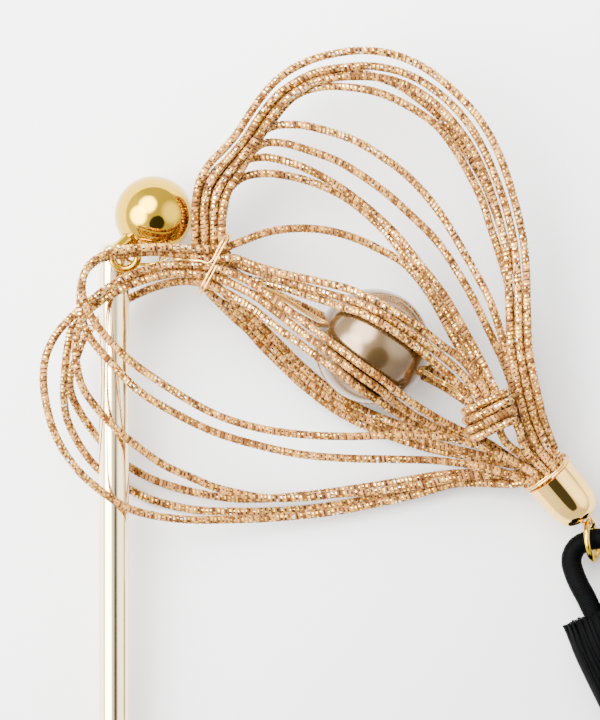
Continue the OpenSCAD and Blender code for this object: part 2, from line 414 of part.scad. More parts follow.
module right_cord_1() { cord(right_1, right_mouth[0], [-1, -1]); }
module right_cord_2() { cord(right_2, right_mouth[1]); }
module right_cord_3() { cord(right_3, right_mouth[2]); }
module right_cord_4() { cord(right_4, right_mouth[3], [0, -2]); }
module right_cord_5() { cord(right_5, right_mouth[4]); }
module right_cord_6() { cord(right_6, right_mouth[5]); }
module right_cord_7() { cord(right_7, right_mouth[6]); }
module right_cord_8() { cord(right_8); }
module right_cord_9() { cord(right_9); }

// the knot's cord: turns from the upper left down to the lower right, then into the cap
module knot_cord() {
  across = 1.5 * cord_pitch + cord_d + 0.11;
  up = 0.5 * cord_pitch + cord_d + 0.11;
  rounds = 3.5;
  pitch = cord_d + 0.11;
  loops = place(bulged(turns(rounds, 16, across, -up, pitch, 0.6, 180), 0.08, 0.3),
    knot_turn, knot_across, knot_at, rounds * pitch / 2);
  tail = [[21.9, -13, 8.1], [22.2, -14.2, 7.5], [22.9, -15.4, 6.9], [24, -16.5, 6.2]];
  end = [for (d = [-0.4, 1, 3]) cap_slot(0, 2, d)];
  color(paper_cord) translate(-origin)
    tube(even(smooth(concat(loops, tail, end), 0.4), 1.15), cord_d / 2, cord_sides);
}

module pearl() {
  color(pearl_white) translate(pearl_at - origin) rotate([0, 90, pearl_turn])
    difference() {
      sphere(pearl_d / 2, $fn = 96);
      cylinder(r = pearl_hole / 2, h = pearl_d + 2, center = true, $fn = 24);
    }
}

module pearl_cord() {
  way = [cos(pearl_turn), sin(pearl_turn), 0];
  route = concat(thread_in, [pearl_at - way * (pearl_d / 2 + 0.6), pearl_at - way * 2.5,
    pearl_at + way * 2.5, pearl_at + way * (pearl_d / 2 + 0.6)], thread_out);
  color(gold) translate(-origin) tube(even(smooth(route, 0.5), 1.6), thread_d / 2, cord_sides);
}

// two turns of wire just outside the cap's mouth
module binding_wire() {
  r = 2.68;
  loops = [for (q = turns(2, 18, r, r, wire_d + 0.03, 1, 90)) q - [0.6, 0, 0]];
  color(gold) translate(cap_at - origin) rotate([0, cap_lean, cap_turn])
    tube(loops, wire_d / 2, wire_sides);
}

module end_cap() {
  r = cap_d / 2;
  color(gold) translate(cap_at - origin) rotate([0, 90 + cap_lean, cap_turn]) {
    difference() {
      rotate_extrude($fn = 64)
        polygon(concat([[0, 0]], [for (q = cap_form) [r * q[0], cap_len * q[1]]]));
      translate([0, 0, -1]) cylinder(r = r - cap_wall, h = 4.5, $fn = 64);
    }
    translate([0, 0, cap_len + 0.45]) rotate([90, 0, bail_turn])
      rotate_extrude($fn = 48) translate([0.75, 0]) circle(0.2, $fn = 20);
  }
}

module jump_ring() {
  color(gold) translate(jump_at - origin) rotate([0, jump_lean, jump_turn])
    rotate_extrude($fn = 64) translate([(jump_d - jump_wire) / 2, 0])
      circle(jump_wire / 2, $fn = 24);
}

module tassel_loop() {
  color(black) translate(-origin)
    tube(even(smooth(loop_route, 0.5), 1.0), loop_d / 2, 10);
}

// lathe-turned solid along +X
module lathe(sections, sides) {
  rows = len(sections);
  points = [for (s = sections) for (k = [0 : sides - 1])
    [s[0], s[1] * cos(360 * k / sides), s[1] * sin(360 * k / sides)]];
  faces = [[for (k = [0 : sides - 1]) k],
    [for (k = [0 : sides - 1]) rows * sides - 1 - k],
    for (i = [0 : rows - 2]) for (k = [0 : sides - 1])
      [i * sides + k, (i + 1) * sides + k,
       (i + 1) * sides + (k + 1) % sides, i * sides + (k + 1) % sides]];
  polyhedron(points, faces);
}

module tassel() {
  r = head_d / 2;
  // along, radius
  head = [[0, r * 0.88], [0.7, r * 0.92], [1.5, r * 0.96], [3, r], [5, r], [head_len - 1.5, r * 0.97],
    [head_len - 0.8, r * 0.86], [head_len + 0.9, r * 0.86], [head_len + 1.6, r * 0.95],
    [head_len + 5, r * 0.9]];
  color(black) translate(head_at - origin) rotate([0, 0, tassel_turn])
    difference() {
      union() {
        lathe(head, 20);
        for (i = [0 : locks - 1]) {
          a = 360 * i / locks;
          s = 0.55 + 0.45 * abs(cos(a));
          path = [for (k = [0 : 6]) let(t = k / 6)
            [head_len + 0.6 + fringe_len * t * (1 - 0.04 * abs(sin(a * 2.5))),
             cos(a) * (2.4 + 3.2 * t) + 0.5 * sin(200 * t + 80 * i) * t,
             sin(a) * (2.2 - 0.2 * t) - 0.35 * t]];
          tube(path, 1.3, 8);
        }
      }
      for (side = [-0.1, 2.05]) translate([-0.1, side, 0])
        rotate([0, 90, 0]) cylinder(r = loop_d / 2 + 0.06, h = 1.7, $fn = 20);
    }
}

stick();
ball_top();
ring_link();
tie_wire();
left_cord_1();
left_cord_2();
left_cord_3();
left_cord_4();
left_cord_5();
left_cord_6();
right_cord_1();
right_cord_2();
right_cord_3();
right_cord_4();
right_cord_5();
right_cord_6();
right_cord_7();
right_cord_8();
right_cord_9();
knot_cord();
pearl();
pearl_cord();
binding_wire();
end_cap();
jump_ring();
tassel_loop();
tassel();
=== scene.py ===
"""Dresses the hair stick with its wound paper cords, pearl, gilt metal and black tassel.

Lengths are metres. The routes of the cords are the ones of the CAD, counted from the same point.
"""

import bpy
import numpy as np
from bpy.props import FloatProperty, FloatVectorProperty, IntProperty, PointerProperty
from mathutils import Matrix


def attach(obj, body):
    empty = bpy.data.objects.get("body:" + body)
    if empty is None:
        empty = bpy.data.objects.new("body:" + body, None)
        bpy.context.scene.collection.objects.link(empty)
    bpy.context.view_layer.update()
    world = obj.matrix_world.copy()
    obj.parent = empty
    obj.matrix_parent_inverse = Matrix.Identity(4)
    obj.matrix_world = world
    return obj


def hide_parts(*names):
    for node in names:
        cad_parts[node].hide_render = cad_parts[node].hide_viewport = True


bl_info = {
    "name": "Paper-cord hair stick",
    "version": (1, 0, 0),
    "blender": (4, 5, 0),
    "location": "View3D > Sidebar > Hair stick",
    "description": "Adds the wound cords, threads, finishes and stage of a hair stick",
    "category": "Add Mesh",
}

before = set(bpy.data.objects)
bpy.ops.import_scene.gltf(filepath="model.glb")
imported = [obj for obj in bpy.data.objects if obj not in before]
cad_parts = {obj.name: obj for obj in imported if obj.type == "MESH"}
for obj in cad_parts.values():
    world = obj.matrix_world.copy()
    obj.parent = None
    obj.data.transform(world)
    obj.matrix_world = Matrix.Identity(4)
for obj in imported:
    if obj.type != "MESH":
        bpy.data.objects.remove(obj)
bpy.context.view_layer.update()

MM = 0.001
BODY = "root"
UP = np.array((0.0, 0.0, 1.0))

# the point of the routes that lies at the middle of the part
START = np.array((16.5, -53.5, 0.0)) * MM


def unit(vector):
    """The same way, with length 1."""
    return vector / np.linalg.norm(vector)


def direction(turn):
    """A level way, turned from +X by degrees."""
    angle = np.radians(turn)
    return np.array((np.cos(angle), np.sin(angle), 0.0))


# Sizes of the cords

CORD = 0.84 * MM
PITCH = 0.9 * MM
ROW_UP = PITCH * np.sqrt(3) / 2
WIRE = 0.2 * MM

# Cap: middle of its mouth, the way it points, how far it leans down, and the depths in it, in
# millimetres, that a cord is led through
CAP_AT = np.array((24.9, -17.4, 4.25)) * MM
CAP_TURN = -50
CAP_LEAN = 11.5
CAP_DEPTHS = (-0.4, 1, 3)

# Pearl, the way its hole runs, and the two strands of its thread
PEARL_AT = np.array((7.2, -4.5, 7.0)) * MM
PEARL_TURN = -26.5
PEARL = 11.6 * MM
STRAND = 0.24 * MM
STRAND_PITCH = 0.25 * MM

# Knot: middle, the way the cords run through it and the way its turns lie across them
KNOT_AT = np.array((18.9, -11.43, 8.65)) * MM
KNOT_TURN = -72
KNOT_ACROSS = 29

# Where all cords meet, the way the tie's turns follow each other, and their reach across and up
TIE_AT = np.array((-8.66, 3.76, 7.2)) * MM
TIE_TURN = -28
TIE_ACROSS = -3.42 * MM
TIE_UP = 2.9 * MM

# Top of the tassel's head, the way it hangs, and its sizes
HEAD_AT = np.array((29.5, -31.2, 3.75)) * MM
TASSEL_TURN = -65.2
HEAD = 7.3 * MM
HEAD_LEN = 11 * MM
NECK_REACH = HEAD * 0.435
BINDING = 0.28 * MM
FRINGE_LEN = 44 * MM
LOCKS = 14
LOCK = 2.6 * MM
LOOP = 2.1 * MM
LOOP_HOLES = (-0.1 * MM, 2.05 * MM)
LOOP_HOLE = LOOP + 0.12 * MM

# Head of the tassel: millimetres from its top, and its radius there as a share
HEAD_SECTIONS = [
    (0, 0.88), (0.7, 0.92), (1.5, 0.96), (3, 1), (5, 1), (9.5, 0.97), (10.2, 0.86),
    (11.9, 0.86), (12.6, 0.95), (16, 0.9),
]

# Stick: middle of its flat top, and its sizes
STICK_TOP = np.array((-18.7, 5.9, 5.2)) * MM
STICK = 3 * MM
STICK_EDGE = 0.8 * MM
STICK_LEN = 138.5 * MM
TAPER_LEN = 26 * MM
TIP = 1.8 * MM

# Ball, its neck and the thick ring soldered to it
BALL_AT = np.array((-14.7, 8.65, 5.4)) * MM
BALL = 7.9 * MM
RING_TOP_AT = np.array((-17.6, 4.5, 7.1)) * MM
RING_TOP = 3.4 * MM
RING_TOP_WIRE = 0.8 * MM
NECK_FROM = RING_TOP_AT + np.array((-0.6, 0.85, 0.55)) * MM
NECK = 1.2 * MM

# Cap: its sizes, the reach of the wire before its mouth and how far back that starts, its bail,
# and its outside as shares of its radius and length from the mouth
CAP = 5.2 * MM
CAP_WALL = 0.26 * MM
CAP_LEN = 5.7 * MM
CAP_HOLE = 3.5 * MM
WIRE_REACH = 2.68 * MM
WIRE_BACK = 0.6 * MM
BAIL = 1.5 * MM
BAIL_WIRE = 0.4 * MM
BAIL_TURN = -38
CAP_FORM = [
    (1, 0), (1, 0.25), (0.985, 0.5), (0.95, 0.68), (0.88, 0.81), (0.77, 0.91), (0.6, 0.975),
    (0.3, 1), (0.02, 1),
]

# Picture: the spot under the camera, the height that it shows in full size, and its length there
VIEW_AT = (-16.55 * MM, 47.63 * MM)
VIEW_UP = 9 * MM
VIEW_LEN = 72 * MM

# Routes, millimetres from the point where they start, made metres where they are used
# Left cords: from the cap round the left lobe to their far end
LEFT_1 = [
    (23.6, -17.4, 6.3), (22.8, -16.85, 6.45), (21.5, -16.15, 6.5), (20, -15.35, 6.6),
    (18.4, -14.65, 6.8), (17, -14.2, 7.05), (15.3, -13.8, 7.9), (13.5, -13.5, 9), (9, -13.4, 10.4),
    (4.5, -13.5, 11), (0, -13.3, 11.4), (-4.5, -12.6, 11.7), (-8.7, -11.2, 12), (-12.6, -9, 12.2),
    (-16.8, -6.1, 12.4), (-19.6, -3.3, 12.6), (-21.3, -0.7, 12.9), (-21.8, 1.7, 13),
    (-20.9, 3.8, 12.7), (-18.5, 5, 11.9), (-15, 5.4, 10.9), (-11.5, 5.3, 9.9), (-8.1, 5.25, 9.2),
    (-6.4, 5.8, 8.5), (-3, 7, 7.6), (1, 7.3, 6.8), (5, 6.5, 6), (9.3, 4.5, 4.95), (11.2, 3, 4.75),
    (13.2, 0.3, 4.9), (15.2, -3.4, 5.6), (16.8, -6.3, 6.5), (17.8, -8.4, 7.6), (18.5, -10.1, 8.25),
    (18.9, -11.4, 8.25), (19.1, -12.1, 8.25),
]
LEFT_2 = [
    (23, -17.95, 5.25), (22, -17.7, 5.4), (19.5, -16.9, 6.2), (16.5, -16.3, 7), (13, -15.9, 7.9),
    (9, -15.8, 8.6), (4.5, -15.7, 9.2), (0, -15.3, 9.8), (-4.2, -14.4, 10.3), (-8.5, -13.1, 10.7),
    (-12.5, -11.2, 11), (-16.2, -8.9, 11.2), (-19.2, -5.8, 11.3), (-20.9, -3.8, 11.5),
    (-21.8, -1.7, 11.7), (-22, 0.5, 11.9), (-21.6, 2.7, 11.7), (-20.4, 4, 11.2),
    (-18.8, 4.5, 10.8), (-16.5, 4.8, 10.2), (-14, 4.9, 9.6), (-11.6, 4.6, 9), (-8.5, 4.3, 8.9),
    (-6.5, 4.3, 9.1), (-4.5, 3.55, 9.5), (-1.5, 2.7, 10), (1.8, 1.98, 10.3), (4.5, 1.32, 10.7),
    (6.2, 0.65, 11.2), (8, -0.25, 11.8), (10, -1.5, 11.9), (12, -2.7, 11.2), (14, -4.3, 10.3),
    (16.2, -5.9, 9.6), (18.1, -8.3, 9.2), (18.9, -9.9, 9.05), (19.3, -11.3, 9.05),
    (19.85, -12.7, 8.9), (20.4, -13.9, 8.2), (21.2, -14.7, 7.3), (22.3, -15.45, 6.2),
    (23.4, -16.18, 4.8), (24.05, -16.57, 4.46),
]
LEFT_3 = [
    (22.74, -18, 4.32), (21.55, -18.3, 3.72), (19.5, -18.3, 3.05), (17.2, -18.2, 2.7),
    (15, -18.4, 2.5), (11.5, -19.4, 2.2), (8, -20.2, 2), (4, -21, 1.8), (0, -21.5, 1.9),
    (-4, -21.8, 2.3), (-7.5, -21.9, 2.9), (-11, -21.9, 3.9), (-14.5, -21.5, 5.2),
    (-17.5, -20.6, 6.5), (-20.2, -18.8, 7.6), (-22.6, -16.5, 8.6), (-24.4, -13.6, 9.4),
    (-25.3, -10.8, 10), (-25.7, -7.8, 10.3), (-25.4, -5.4, 10.4), (-24.4, -3.3, 10.3),
    (-22.8, -1.5, 10.1), (-21.2, -0.1, 9.9), (-19.5, 1.2, 9.8), (-17.5, 2.4, 9.5), (-15, 3.3, 9.2),
    (-12, 3.7, 9), (-8.9, 3.4, 8.8), (-7.2, 2.9, 9), (-5, 1.9, 9.4), (-2.5, 0.1, 10),
    (0, -1.8, 10.7), (1.2, -2.7, 11.3), (2.5, -3.7, 11.9), (4, -4.8, 12.6), (6, -6.3, 13),
    (8, -7.7, 12.5), (10, -9.3, 11), (12, -10.7, 9), (14, -11.9, 7.3), (16.2, -13, 6.3),
    (18.5, -14, 5.8), (20.8, -15.5, 5.5), (22.6, -16.72, 5.34), (23.5, -17.05, 5.45),
]
LEFT_4 = [
    (23.3, -17.2, 4.42), (22.2, -17.2, 4.1), (20, -17.4, 3.75), (17.5, -17.5, 3.4),
    (15, -17.8, 3.3), (11.5, -18.5, 3.1), (8, -19, 2.9), (4, -19.3, 2.7), (0, -19.7, 2.5),
    (-3.5, -19.7, 2.6), (-6, -19.3, 2.9), (-8.7, -18.6, 3.5), (-11.3, -17.5, 4.4),
    (-13.7, -16.4, 5.3), (-16, -14.8, 6.1), (-18.2, -13, 6.9), (-20.3, -10.8, 7.6),
    (-21.8, -8.6, 8.2), (-22.4, -6.2, 8.6), (-22.5, -4.2, 8.8), (-22.1, -2.5, 9), (-21.2, -1, 9.1),
    (-19.7, 0.2, 9.2), (-17.5, 1.4, 9.1), (-15, 2.3, 9), (-12, 2.8, 8.9), (-9.3, 2.55, 8.8),
    (-7.4, 1.95, 8.9), (-5, 0.8, 9.2), (-2.5, -1, 9.8), (0, -3, 10.5), (2, -4.5, 11.5),
    (4, -6, 12.3), (6, -7.5, 12.5), (8, -8.9, 11.6), (10, -10.5, 9.7), (12, -11.8, 7.8),
    (14, -12.8, 6.3), (16.2, -13.7, 5.4), (17.6, -14.2, 5),
]
LEFT_5 = [
    (23.3, -17.13, 2.84), (22.1, -17.57, 2.16), (19.8, -18, 1.6), (17.5, -18, 1.4),
    (15, -18.2, 1.3), (11.5, -18.9, 1.1), (8, -19.6, 0.8), (4, -20.4, 0.6), (0, -20.9, 0.5),
    (-4, -21.1, 0.5), (-7, -21.1, 0.47), (-10, -21, 0.45), (-12.5, -20.6, 0.45),
    (-15, -19.9, 0.45), (-17, -19, 0.5), (-18.8, -18.1, 0.9), (-20.8, -16.3, 2.6),
    (-22.3, -14.2, 3.8), (-23.4, -11.8, 5.2), (-23.7, -9.5, 6.4), (-23.6, -7, 7.2),
    (-23.3, -4.5, 7.7), (-22.8, -2.5, 7.9), (-21.6, -0.8, 8.1), (-19.7, 0.6, 8.2),
    (-17.5, 1.8, 8.1), (-15, 2.8, 8), (-12, 3.2, 7.9), (-10.4, 3.1, 7.9),
]
LEFT_6 = [
    (22.8, -17.5, 3.45), (21.8, -17.6, 3.1), (19.3, -17.3, 2.65), (16.5, -17.2, 2.3),
    (14, -17.4, 2.1), (11.5, -17.8, 2), (8, -18.4, 1.8), (4, -19, 1.6), (0, -19.5, 1.5),
    (-3.5, -19.8, 1.4), (-6.5, -19.8, 1.3), (-9.5, -19.4, 1.3), (-12.5, -18.7, 1.3),
    (-15, -17.8, 1.4), (-17.2, -16.6, 1.7), (-19, -15.1, 2.1), (-20.7, -13.2, 2.7),
    (-22.2, -11, 3.6), (-23, -9.2, 4.3), (-23.1, -7.5, 4.6), (-22.5, -5.7, 4.4),
    (-21.6, -3.5, 3.7), (-20.2, -1.8, 2.8), (-18.7, -0.6, 2.6), (-17, 0.4, 3.3), (-15, 1.3, 4.5),
    (-12.8, 1.9, 6.2), (-11, 2, 7.7), (-9.7, 1.75, 8.6), (-8.1, 1.2, 8.8), (-6.6, 0.4, 8.9),
    (-4.8, -0.7, 9.1), (-2.4, -2.6, 9.7), (0, -4.3, 10.4), (2, -5.8, 11.2), (4, -7.2, 11.9),
    (6, -8.8, 11.5), (8, -10.1, 9.9), (10, -11.4, 7.9), (12, -12.5, 6.2), (14, -13.3, 5),
    (15.6, -13.8, 4.5),
]
# Right cords: from the cap or the knot over the top to their far end
RIGHT_1 = [
    (25.5, -14.8, 5), (24.6, -12.5, 6.05), (23.9, -10, 6.9), (22.9, -5, 7.2), (22.7, -1, 7.4),
    (22.5, 4.5, 7.6), (21.7, 9, 7.8), (20, 14.4, 8), (18, 18.1, 8), (15.5, 20.9, 8),
    (12.5, 23.3, 8), (9.3, 24.7, 8), (6, 25.1, 8), (2.5, 24.6, 8), (-0.2, 23.6, 8),
    (-2.2, 22.3, 8), (-3.7, 20.7, 8), (-5.2, 18.6, 8), (-6.35, 16.8, 8.1), (-7.65, 15.25, 8.1),
    (-8.9, 14, 8.1), (-10, 12.3, 8.1), (-10.5, 10, 8), (-10.6, 7.5, 7.6), (-10.5, 5.5, 7.1),
    (-10.3, 3.8, 7), (-9.87, 1.96, 6.96), (-8.55, 0.35, 6.35), (-6.6, -0.9, 5.5), (-5.3, -2, 4.95),
    (-4, -3.35, 4.3), (-2.7, -4.65, 3.75), (-1.5, -5.8, 3.3), (-0.2, -7.1, 3), (1.2, -8.3, 2.9),
    (2.4, -9.3, 2.8), (4.5, -10.7, 2.6), (7, -11.9, 2.5), (9.5, -12.9, 2.6), (13.5, -14.25, 2.9),
    (16, -14.9, 3.1), (18.5, -15.5, 3.3), (21, -16, 3.4), (22.6, -16.2, 3.5),
    (23.75, -16.75, 3.68),
]
RIGHT_2 = [
    (24.75, -14.7, 6), (23.75, -12.5, 6.5), (23, -10, 6.9), (22, -5, 7.2), (21.8, -1, 7.4),
    (21.6, 4, 7.6), (20.8, 8.5, 7.8), (19.4, 12.7, 8), (18, 15.8, 8), (16.3, 18.4, 8),
    (14, 20.7, 8), (11, 22.6, 8), (7.5, 23.5, 8), (4, 23.4, 8), (1.2, 22.8, 8), (-1.2, 21.5, 8),
    (-2.7, 20.25, 8), (-4.2, 18.35, 8), (-5.4, 16.5, 8.1), (-6.65, 14.95, 8.1), (-8, 13.4, 8.1),
    (-9.15, 11.6, 8.1), (-9.6, 9.5, 8), (-9.6, 7.2, 7.5), (-9.55, 5.4, 7.1), (-9.4, 3.8, 7),
    (-8.9, 2.3, 7.05), (-7.6, 0.8, 6.6), (-6.2, -0.4, 6.2), (-5.3, -1.1, 5.8), (-4, -2.35, 5.1),
    (-2.7, -3.65, 4.55), (-1.5, -4.85, 4.1), (-0.2, -6.15, 3.7), (1.2, -7.4, 3.5),
    (2.4, -8.4, 3.4), (4.5, -9.9, 3.2), (7, -11.2, 3.1), (9.5, -12.2, 3.2), (12.5, -13.1, 3.5),
]
RIGHT_3 = [
    (23.95, -14.9, 6.6), (22.8, -12.5, 6.75), (22.1, -10, 6.9), (21.1, -5, 7.2), (20.9, -1, 7.4),
    (20.7, 4, 7.6), (19.75, 8.7, 7.8), (17.8, 14.1, 8), (15.3, 17.9, 8), (12.4, 20.6, 8),
    (9, 22.2, 8), (5, 22.5, 8), (2, 22.1, 8), (0.1, 21.3, 8), (-1.35, 20.25, 8), (-2.75, 18.65, 8),
    (-3.8, 17.15, 8), (-4.9, 15.65, 8.1), (-6.15, 14.1, 8.1), (-7.35, 12.6, 8.1), (-8.3, 11, 8.1),
    (-8.65, 9.3, 8), (-8.65, 7.2, 7.5), (-8.6, 5.4, 7.1), (-8.3, 4.2, 7), (-7.4, 3.2, 7.1),
    (-5.7, 2.4, 7.5), (-3.8, 1.9, 8.1), (-1.5, 1.3, 8.7), (0.5, 0.65, 9.15), (2.5, 0, 9.9),
    (4.2, -0.6, 11.2), (6, -1.15, 12.4), (8, -2.2, 13), (10, -3.45, 12.8), (12, -4.95, 11.5),
    (13.8, -6.5, 10.4), (15.5, -8, 9.7), (16.7, -9.6, 9.15), (17.33, -10.8, 9.05),
    (17.7, -12.15, 9.05), (18, -13, 9),
]
RIGHT_4 = [
    (24.95, -14.9, 4.05), (24.1, -12.5, 5.1), (23.45, -10, 6.05), (22.45, -5, 6.35),
    (22.2, -1, 6.55), (21.6, 3, 6.7), (20.4, 6.4, 6.85), (19.2, 9.8, 7), (18, 12.6, 7.1),
    (16, 15.8, 7.15), (14, 18.4, 7.15), (12, 20.1, 7.15), (10, 21.5, 7.15), (7.5, 22.5, 7.1),
    (5, 22.9, 7.15), (2.5, 22.6, 7.2), (0.3, 21.9, 7.2), (-1.4, 20.9, 7.1), (-2.6, 19.9, 7.1),
    (-3.6, 18.65, 7.1), (-4.6, 17.2, 7.15), (-5.6, 15.8, 7.25), (-6.9, 14.5, 7.2),
    (-8.5, 13.1, 7.1), (-9.65, 11.6, 7.1), (-10.1, 9.7, 7.1), (-10.1, 7.2, 6.6),
    (-10.05, 5.4, 6.2), (-9.9, 3.8, 6.1), (-9.68, 2.2, 6), (-9.24, 1.02, 5.73),
    (-8.54, 0.22, 5.38), (-6.6, -1.7, 4.6), (-5.3, -2.85, 4), (-4, -4.35, 3.4), (-2.7, -5.65, 2.9),
    (-1.5, -6.8, 2.6), (-0.2, -8.05, 2.45), (1.2, -9.2, 2.25), (2.4, -10.15, 2.1),
    (4.5, -11.5, 1.9), (7, -12.7, 1.85), (9.5, -13.7, 1.9), (13, -14.8, 2.1), (16, -15.4, 2.2),
    (19, -16, 2.2), (21.5, -16.4, 2.3), (23.2, -16.35, 2.5), (23.95, -16.35, 2.75),
]
RIGHT_5 = [
    (24.4, -15, 4.85), (23.2, -12.5, 5.6), (22.55, -10, 6.05), (21.55, -5, 6.35), (21.3, -1, 6.5),
    (20.7, 2, 6.6), (19.9, 4.8, 6.9), (19, 7.5, 7.4), (18, 10.5, 7.7), (16, 14.3, 8),
    (14, 17.2, 8), (12, 18.8, 8), (9.5, 20.2, 8), (7, 21.1, 8), (4, 21.5, 7.6), (2, 21.45, 7.2),
    (0.3, 21, 6.9), (-1, 20.2, 6.7), (-2.1, 19, 6.75), (-3.1, 17.7, 7.1), (-4.1, 16.4, 7.2),
    (-5, 14.9, 7.3), (-5.9, 13.2, 7.5), (-6.85, 11.8, 7.9), (-7.45, 10.5, 8.08), (-7.75, 9.2, 8),
    (-7.84, 7.6, 8.06), (-7.88, 6.4, 7.84), (-7.6, 5.4, 7.3), (-7.2, 4.5, 7.15), (-6.4, 3.8, 7.4),
    (-4.8, 3.1, 8.3), (-2, 2.2, 9.1), (0, 1.55, 9.6), (2, 0.98, 10.2), (4, 0.4, 10.8),
    (6, -0.25, 11.9), (8, -1.2, 12.5), (10, -2.5, 12.4), (12, -3.9, 11.25), (14, -5.4, 10.3),
    (16, -7.15, 9.7), (17.4, -8.9, 9.2), (18.13, -10.4, 9.05), (18.5, -11.7, 9.05),
    (18.8, -12.7, 9),
]
RIGHT_6 = [
    (24.4, -16, 5.35), (23.74, -15.3, 5.42), (22.7, -13.8, 5.25), (22.2, -12, 5.1),
    (21.7, -10, 5.4), (21.1, -7.5, 5.8), (20.5, -4.7, 6.1), (19, 0, 6.2), (17, 3.8, 6.2),
    (14, 8.8, 6.3), (11, 12.3, 6.4), (8, 14.6, 6.6), (5, 16.3, 6.8), (1, 17.5, 6.9),
    (-1, 17.7, 6.7), (-2.5, 17.6, 6.3), (-3.9, 17, 6.2), (-5.1, 16, 6.15), (-6.3, 14.7, 6.2),
    (-7.5, 13.2, 6.5), (-8.6, 11.5, 7), (-9.1, 9.5, 7.1), (-9.1, 7.2, 6.6), (-9, 5.4, 6.2),
    (-8.7, 3.8, 6.1), (-7.8, 2.4, 5.9), (-6.2, 1.4, 5.6), (-4.2, 0.5, 5), (-2, -0.6, 4.2),
    (0.3, -1.8, 2.8), (2.5, -2.9, 1.5), (5, -4.1, 0.72), (7.8, -5.5, 0.72), (10.2, -6.7, 1.6),
    (12.2, -7.47, 2.9), (14.2, -8.48, 4.4), (15.8, -9.5, 5.7), (16.8, -10.2, 6.1),
]
RIGHT_7 = [
    (24.25, -16, 3.7), (23.5, -15, 3.85), (22.4, -13, 4.1), (21.7, -10.8, 4.35), (21.2, -8.5, 4.7),
    (20.4, -6.2, 5.2), (18.9, -3, 5.6), (16.9, 1, 5.8), (14, 5.6, 6), (11, 8.7, 6.2),
    (8, 11.3, 6.4), (4, 13.9, 6.6), (0, 15.4, 6.7), (-2.2, 15.9, 6.5), (-4, 15.7, 6.4),
    (-5.5, 14.2, 6.45), (-6.6, 12.6, 6.8), (-7.7, 11, 7.05), (-8.15, 9.4, 7.1), (-8.2, 7.2, 6.6),
    (-8, 5.4, 6.2), (-7.6, 4.2, 6.1), (-6.6, 3, 5.9), (-5, 2, 5.5), (-3, 1, 4.9), (-0.8, 0, 4),
    (1.5, -1.1, 2.7), (3.8, -2.2, 1.2), (6.2, -3.4, 0.72), (8.8, -4.6, 0.72), (11, -5.8, 1.9),
    (12.8, -6.65, 3.1), (14.6, -7.62, 4.6), (16.4, -8.7, 5.8), (17.2, -9.25, 6.1),
]
RIGHT_8 = [
    (20.53, -12.1, 9.05), (20.08, -10.85, 9.05), (19.7, -9.5, 9.05), (19.1, -8.1, 8.8),
    (18, -5.8, 8.1), (16.3, -2.7, 7.4), (14.4, 0.6, 6.9), (12, 3.7, 6.5), (9, 7.3, 6.35),
    (5, 10.7, 6.4), (1, 13.1, 6.5), (-2.5, 14.3, 6.2), (-4.5, 14.4, 5.6), (-6, 13.9, 5.45),
    (-7.2, 13, 5.5), (-8.2, 11.4, 5.9), (-8.7, 9.6, 6.1), (-8.82, 7.2, 5.65), (-8.85, 5.4, 5.3),
    (-8.85, 4.2, 5.2),
]
RIGHT_9 = [
    (19.9, -11.7, 8.25), (19.7, -11, 8.25), (19.3, -9.7, 8.2), (18.85, -8.4, 7.8),
    (17.75, -6.35, 7.1), (16.4, -4, 6.5), (14.7, -1.2, 6), (12.5, 1.8, 5.75), (10.5, 4.5, 5.6),
    (8, 7.5, 5.4), (4.5, 10.4, 5.5), (1, 12, 5.9), (-2, 12.7, 6.3), (-4, 12.8, 6.3),
    (-5.8, 12.4, 6.1), (-7.1, 11.3, 6.1), (-7.6, 9.6, 6.15), (-7.85, 8.1, 5.65), (-8, 6.9, 5.35),
    (-8, 5.6, 5.15), (-8, 4.6, 5.1),
]
# Each cord's route, its place in the cap's mouth and that of its far end, if it has them
CORDS = {
    "left_cord_1": (LEFT_1, ((-2, 2),)),
    "left_cord_2": (LEFT_2, ((-3, 1), (0, 0))),
    "left_cord_3": (LEFT_3, ((-4, 0), (-1, 1))),
    "left_cord_4": (LEFT_4, ((-2, 0),)),
    "left_cord_5": (LEFT_5, ((-2, -2),)),
    "left_cord_6": (LEFT_6, ((-3, -1),)),
    "right_cord_1": (RIGHT_1, ((4, 0), (-1, -1))),
    "right_cord_2": (RIGHT_2, ((3, 1),)),
    "right_cord_3": (RIGHT_3, ((2, 2),)),
    "right_cord_4": (RIGHT_4, ((3, -1), (0, -2))),
    "right_cord_5": (RIGHT_5, ((2, 0),)),
    "right_cord_6": (RIGHT_6, ((1, 1),)),
    "right_cord_7": (RIGHT_7, ((1, -1),)),
    "right_cord_8": (RIGHT_8, ()),
    "right_cord_9": (RIGHT_9, ()),
}
# The knot's place in the cap's mouth and its tail, the tie wire's hook, the pearl's thread and the
# tassel's loop
KNOT_FAR = (0, 2)
KNOT_TAIL = [
    (21.9, -13, 8.1), (22.2, -14.2, 7.5), (22.9, -15.4, 6.9), (24, -16.5, 6.2),
]
TIE_HOOK = [
    (-13.1, 4.35, 8.3), (-13.6, 4.1, 8.2), (-14.05, 4.05, 7.8), (-14.1, 4.3, 7.25),
    (-13.65, 4.7, 6.9), (-13.05, 4.65, 7.1), (-12.8, 4.35, 7.9), (-12.7, 4.2, 9.2),
    (-12.2, 4.2, 9.85), (-11, 4.1, 9.75), (-10, 4.05, 9.95),
]
THREAD_IN = [
    (-3.8, 1.3, 7.3), (-1.7, 0.3, 7.2),
]
THREAD_OUT = [
    (13.5, -7.8, 5.7), (14.4, -8.2, 5.4), (15.3, -8.75, 6.05), (16.2, -9.4, 6.65), (17, -9.95, 7),
]
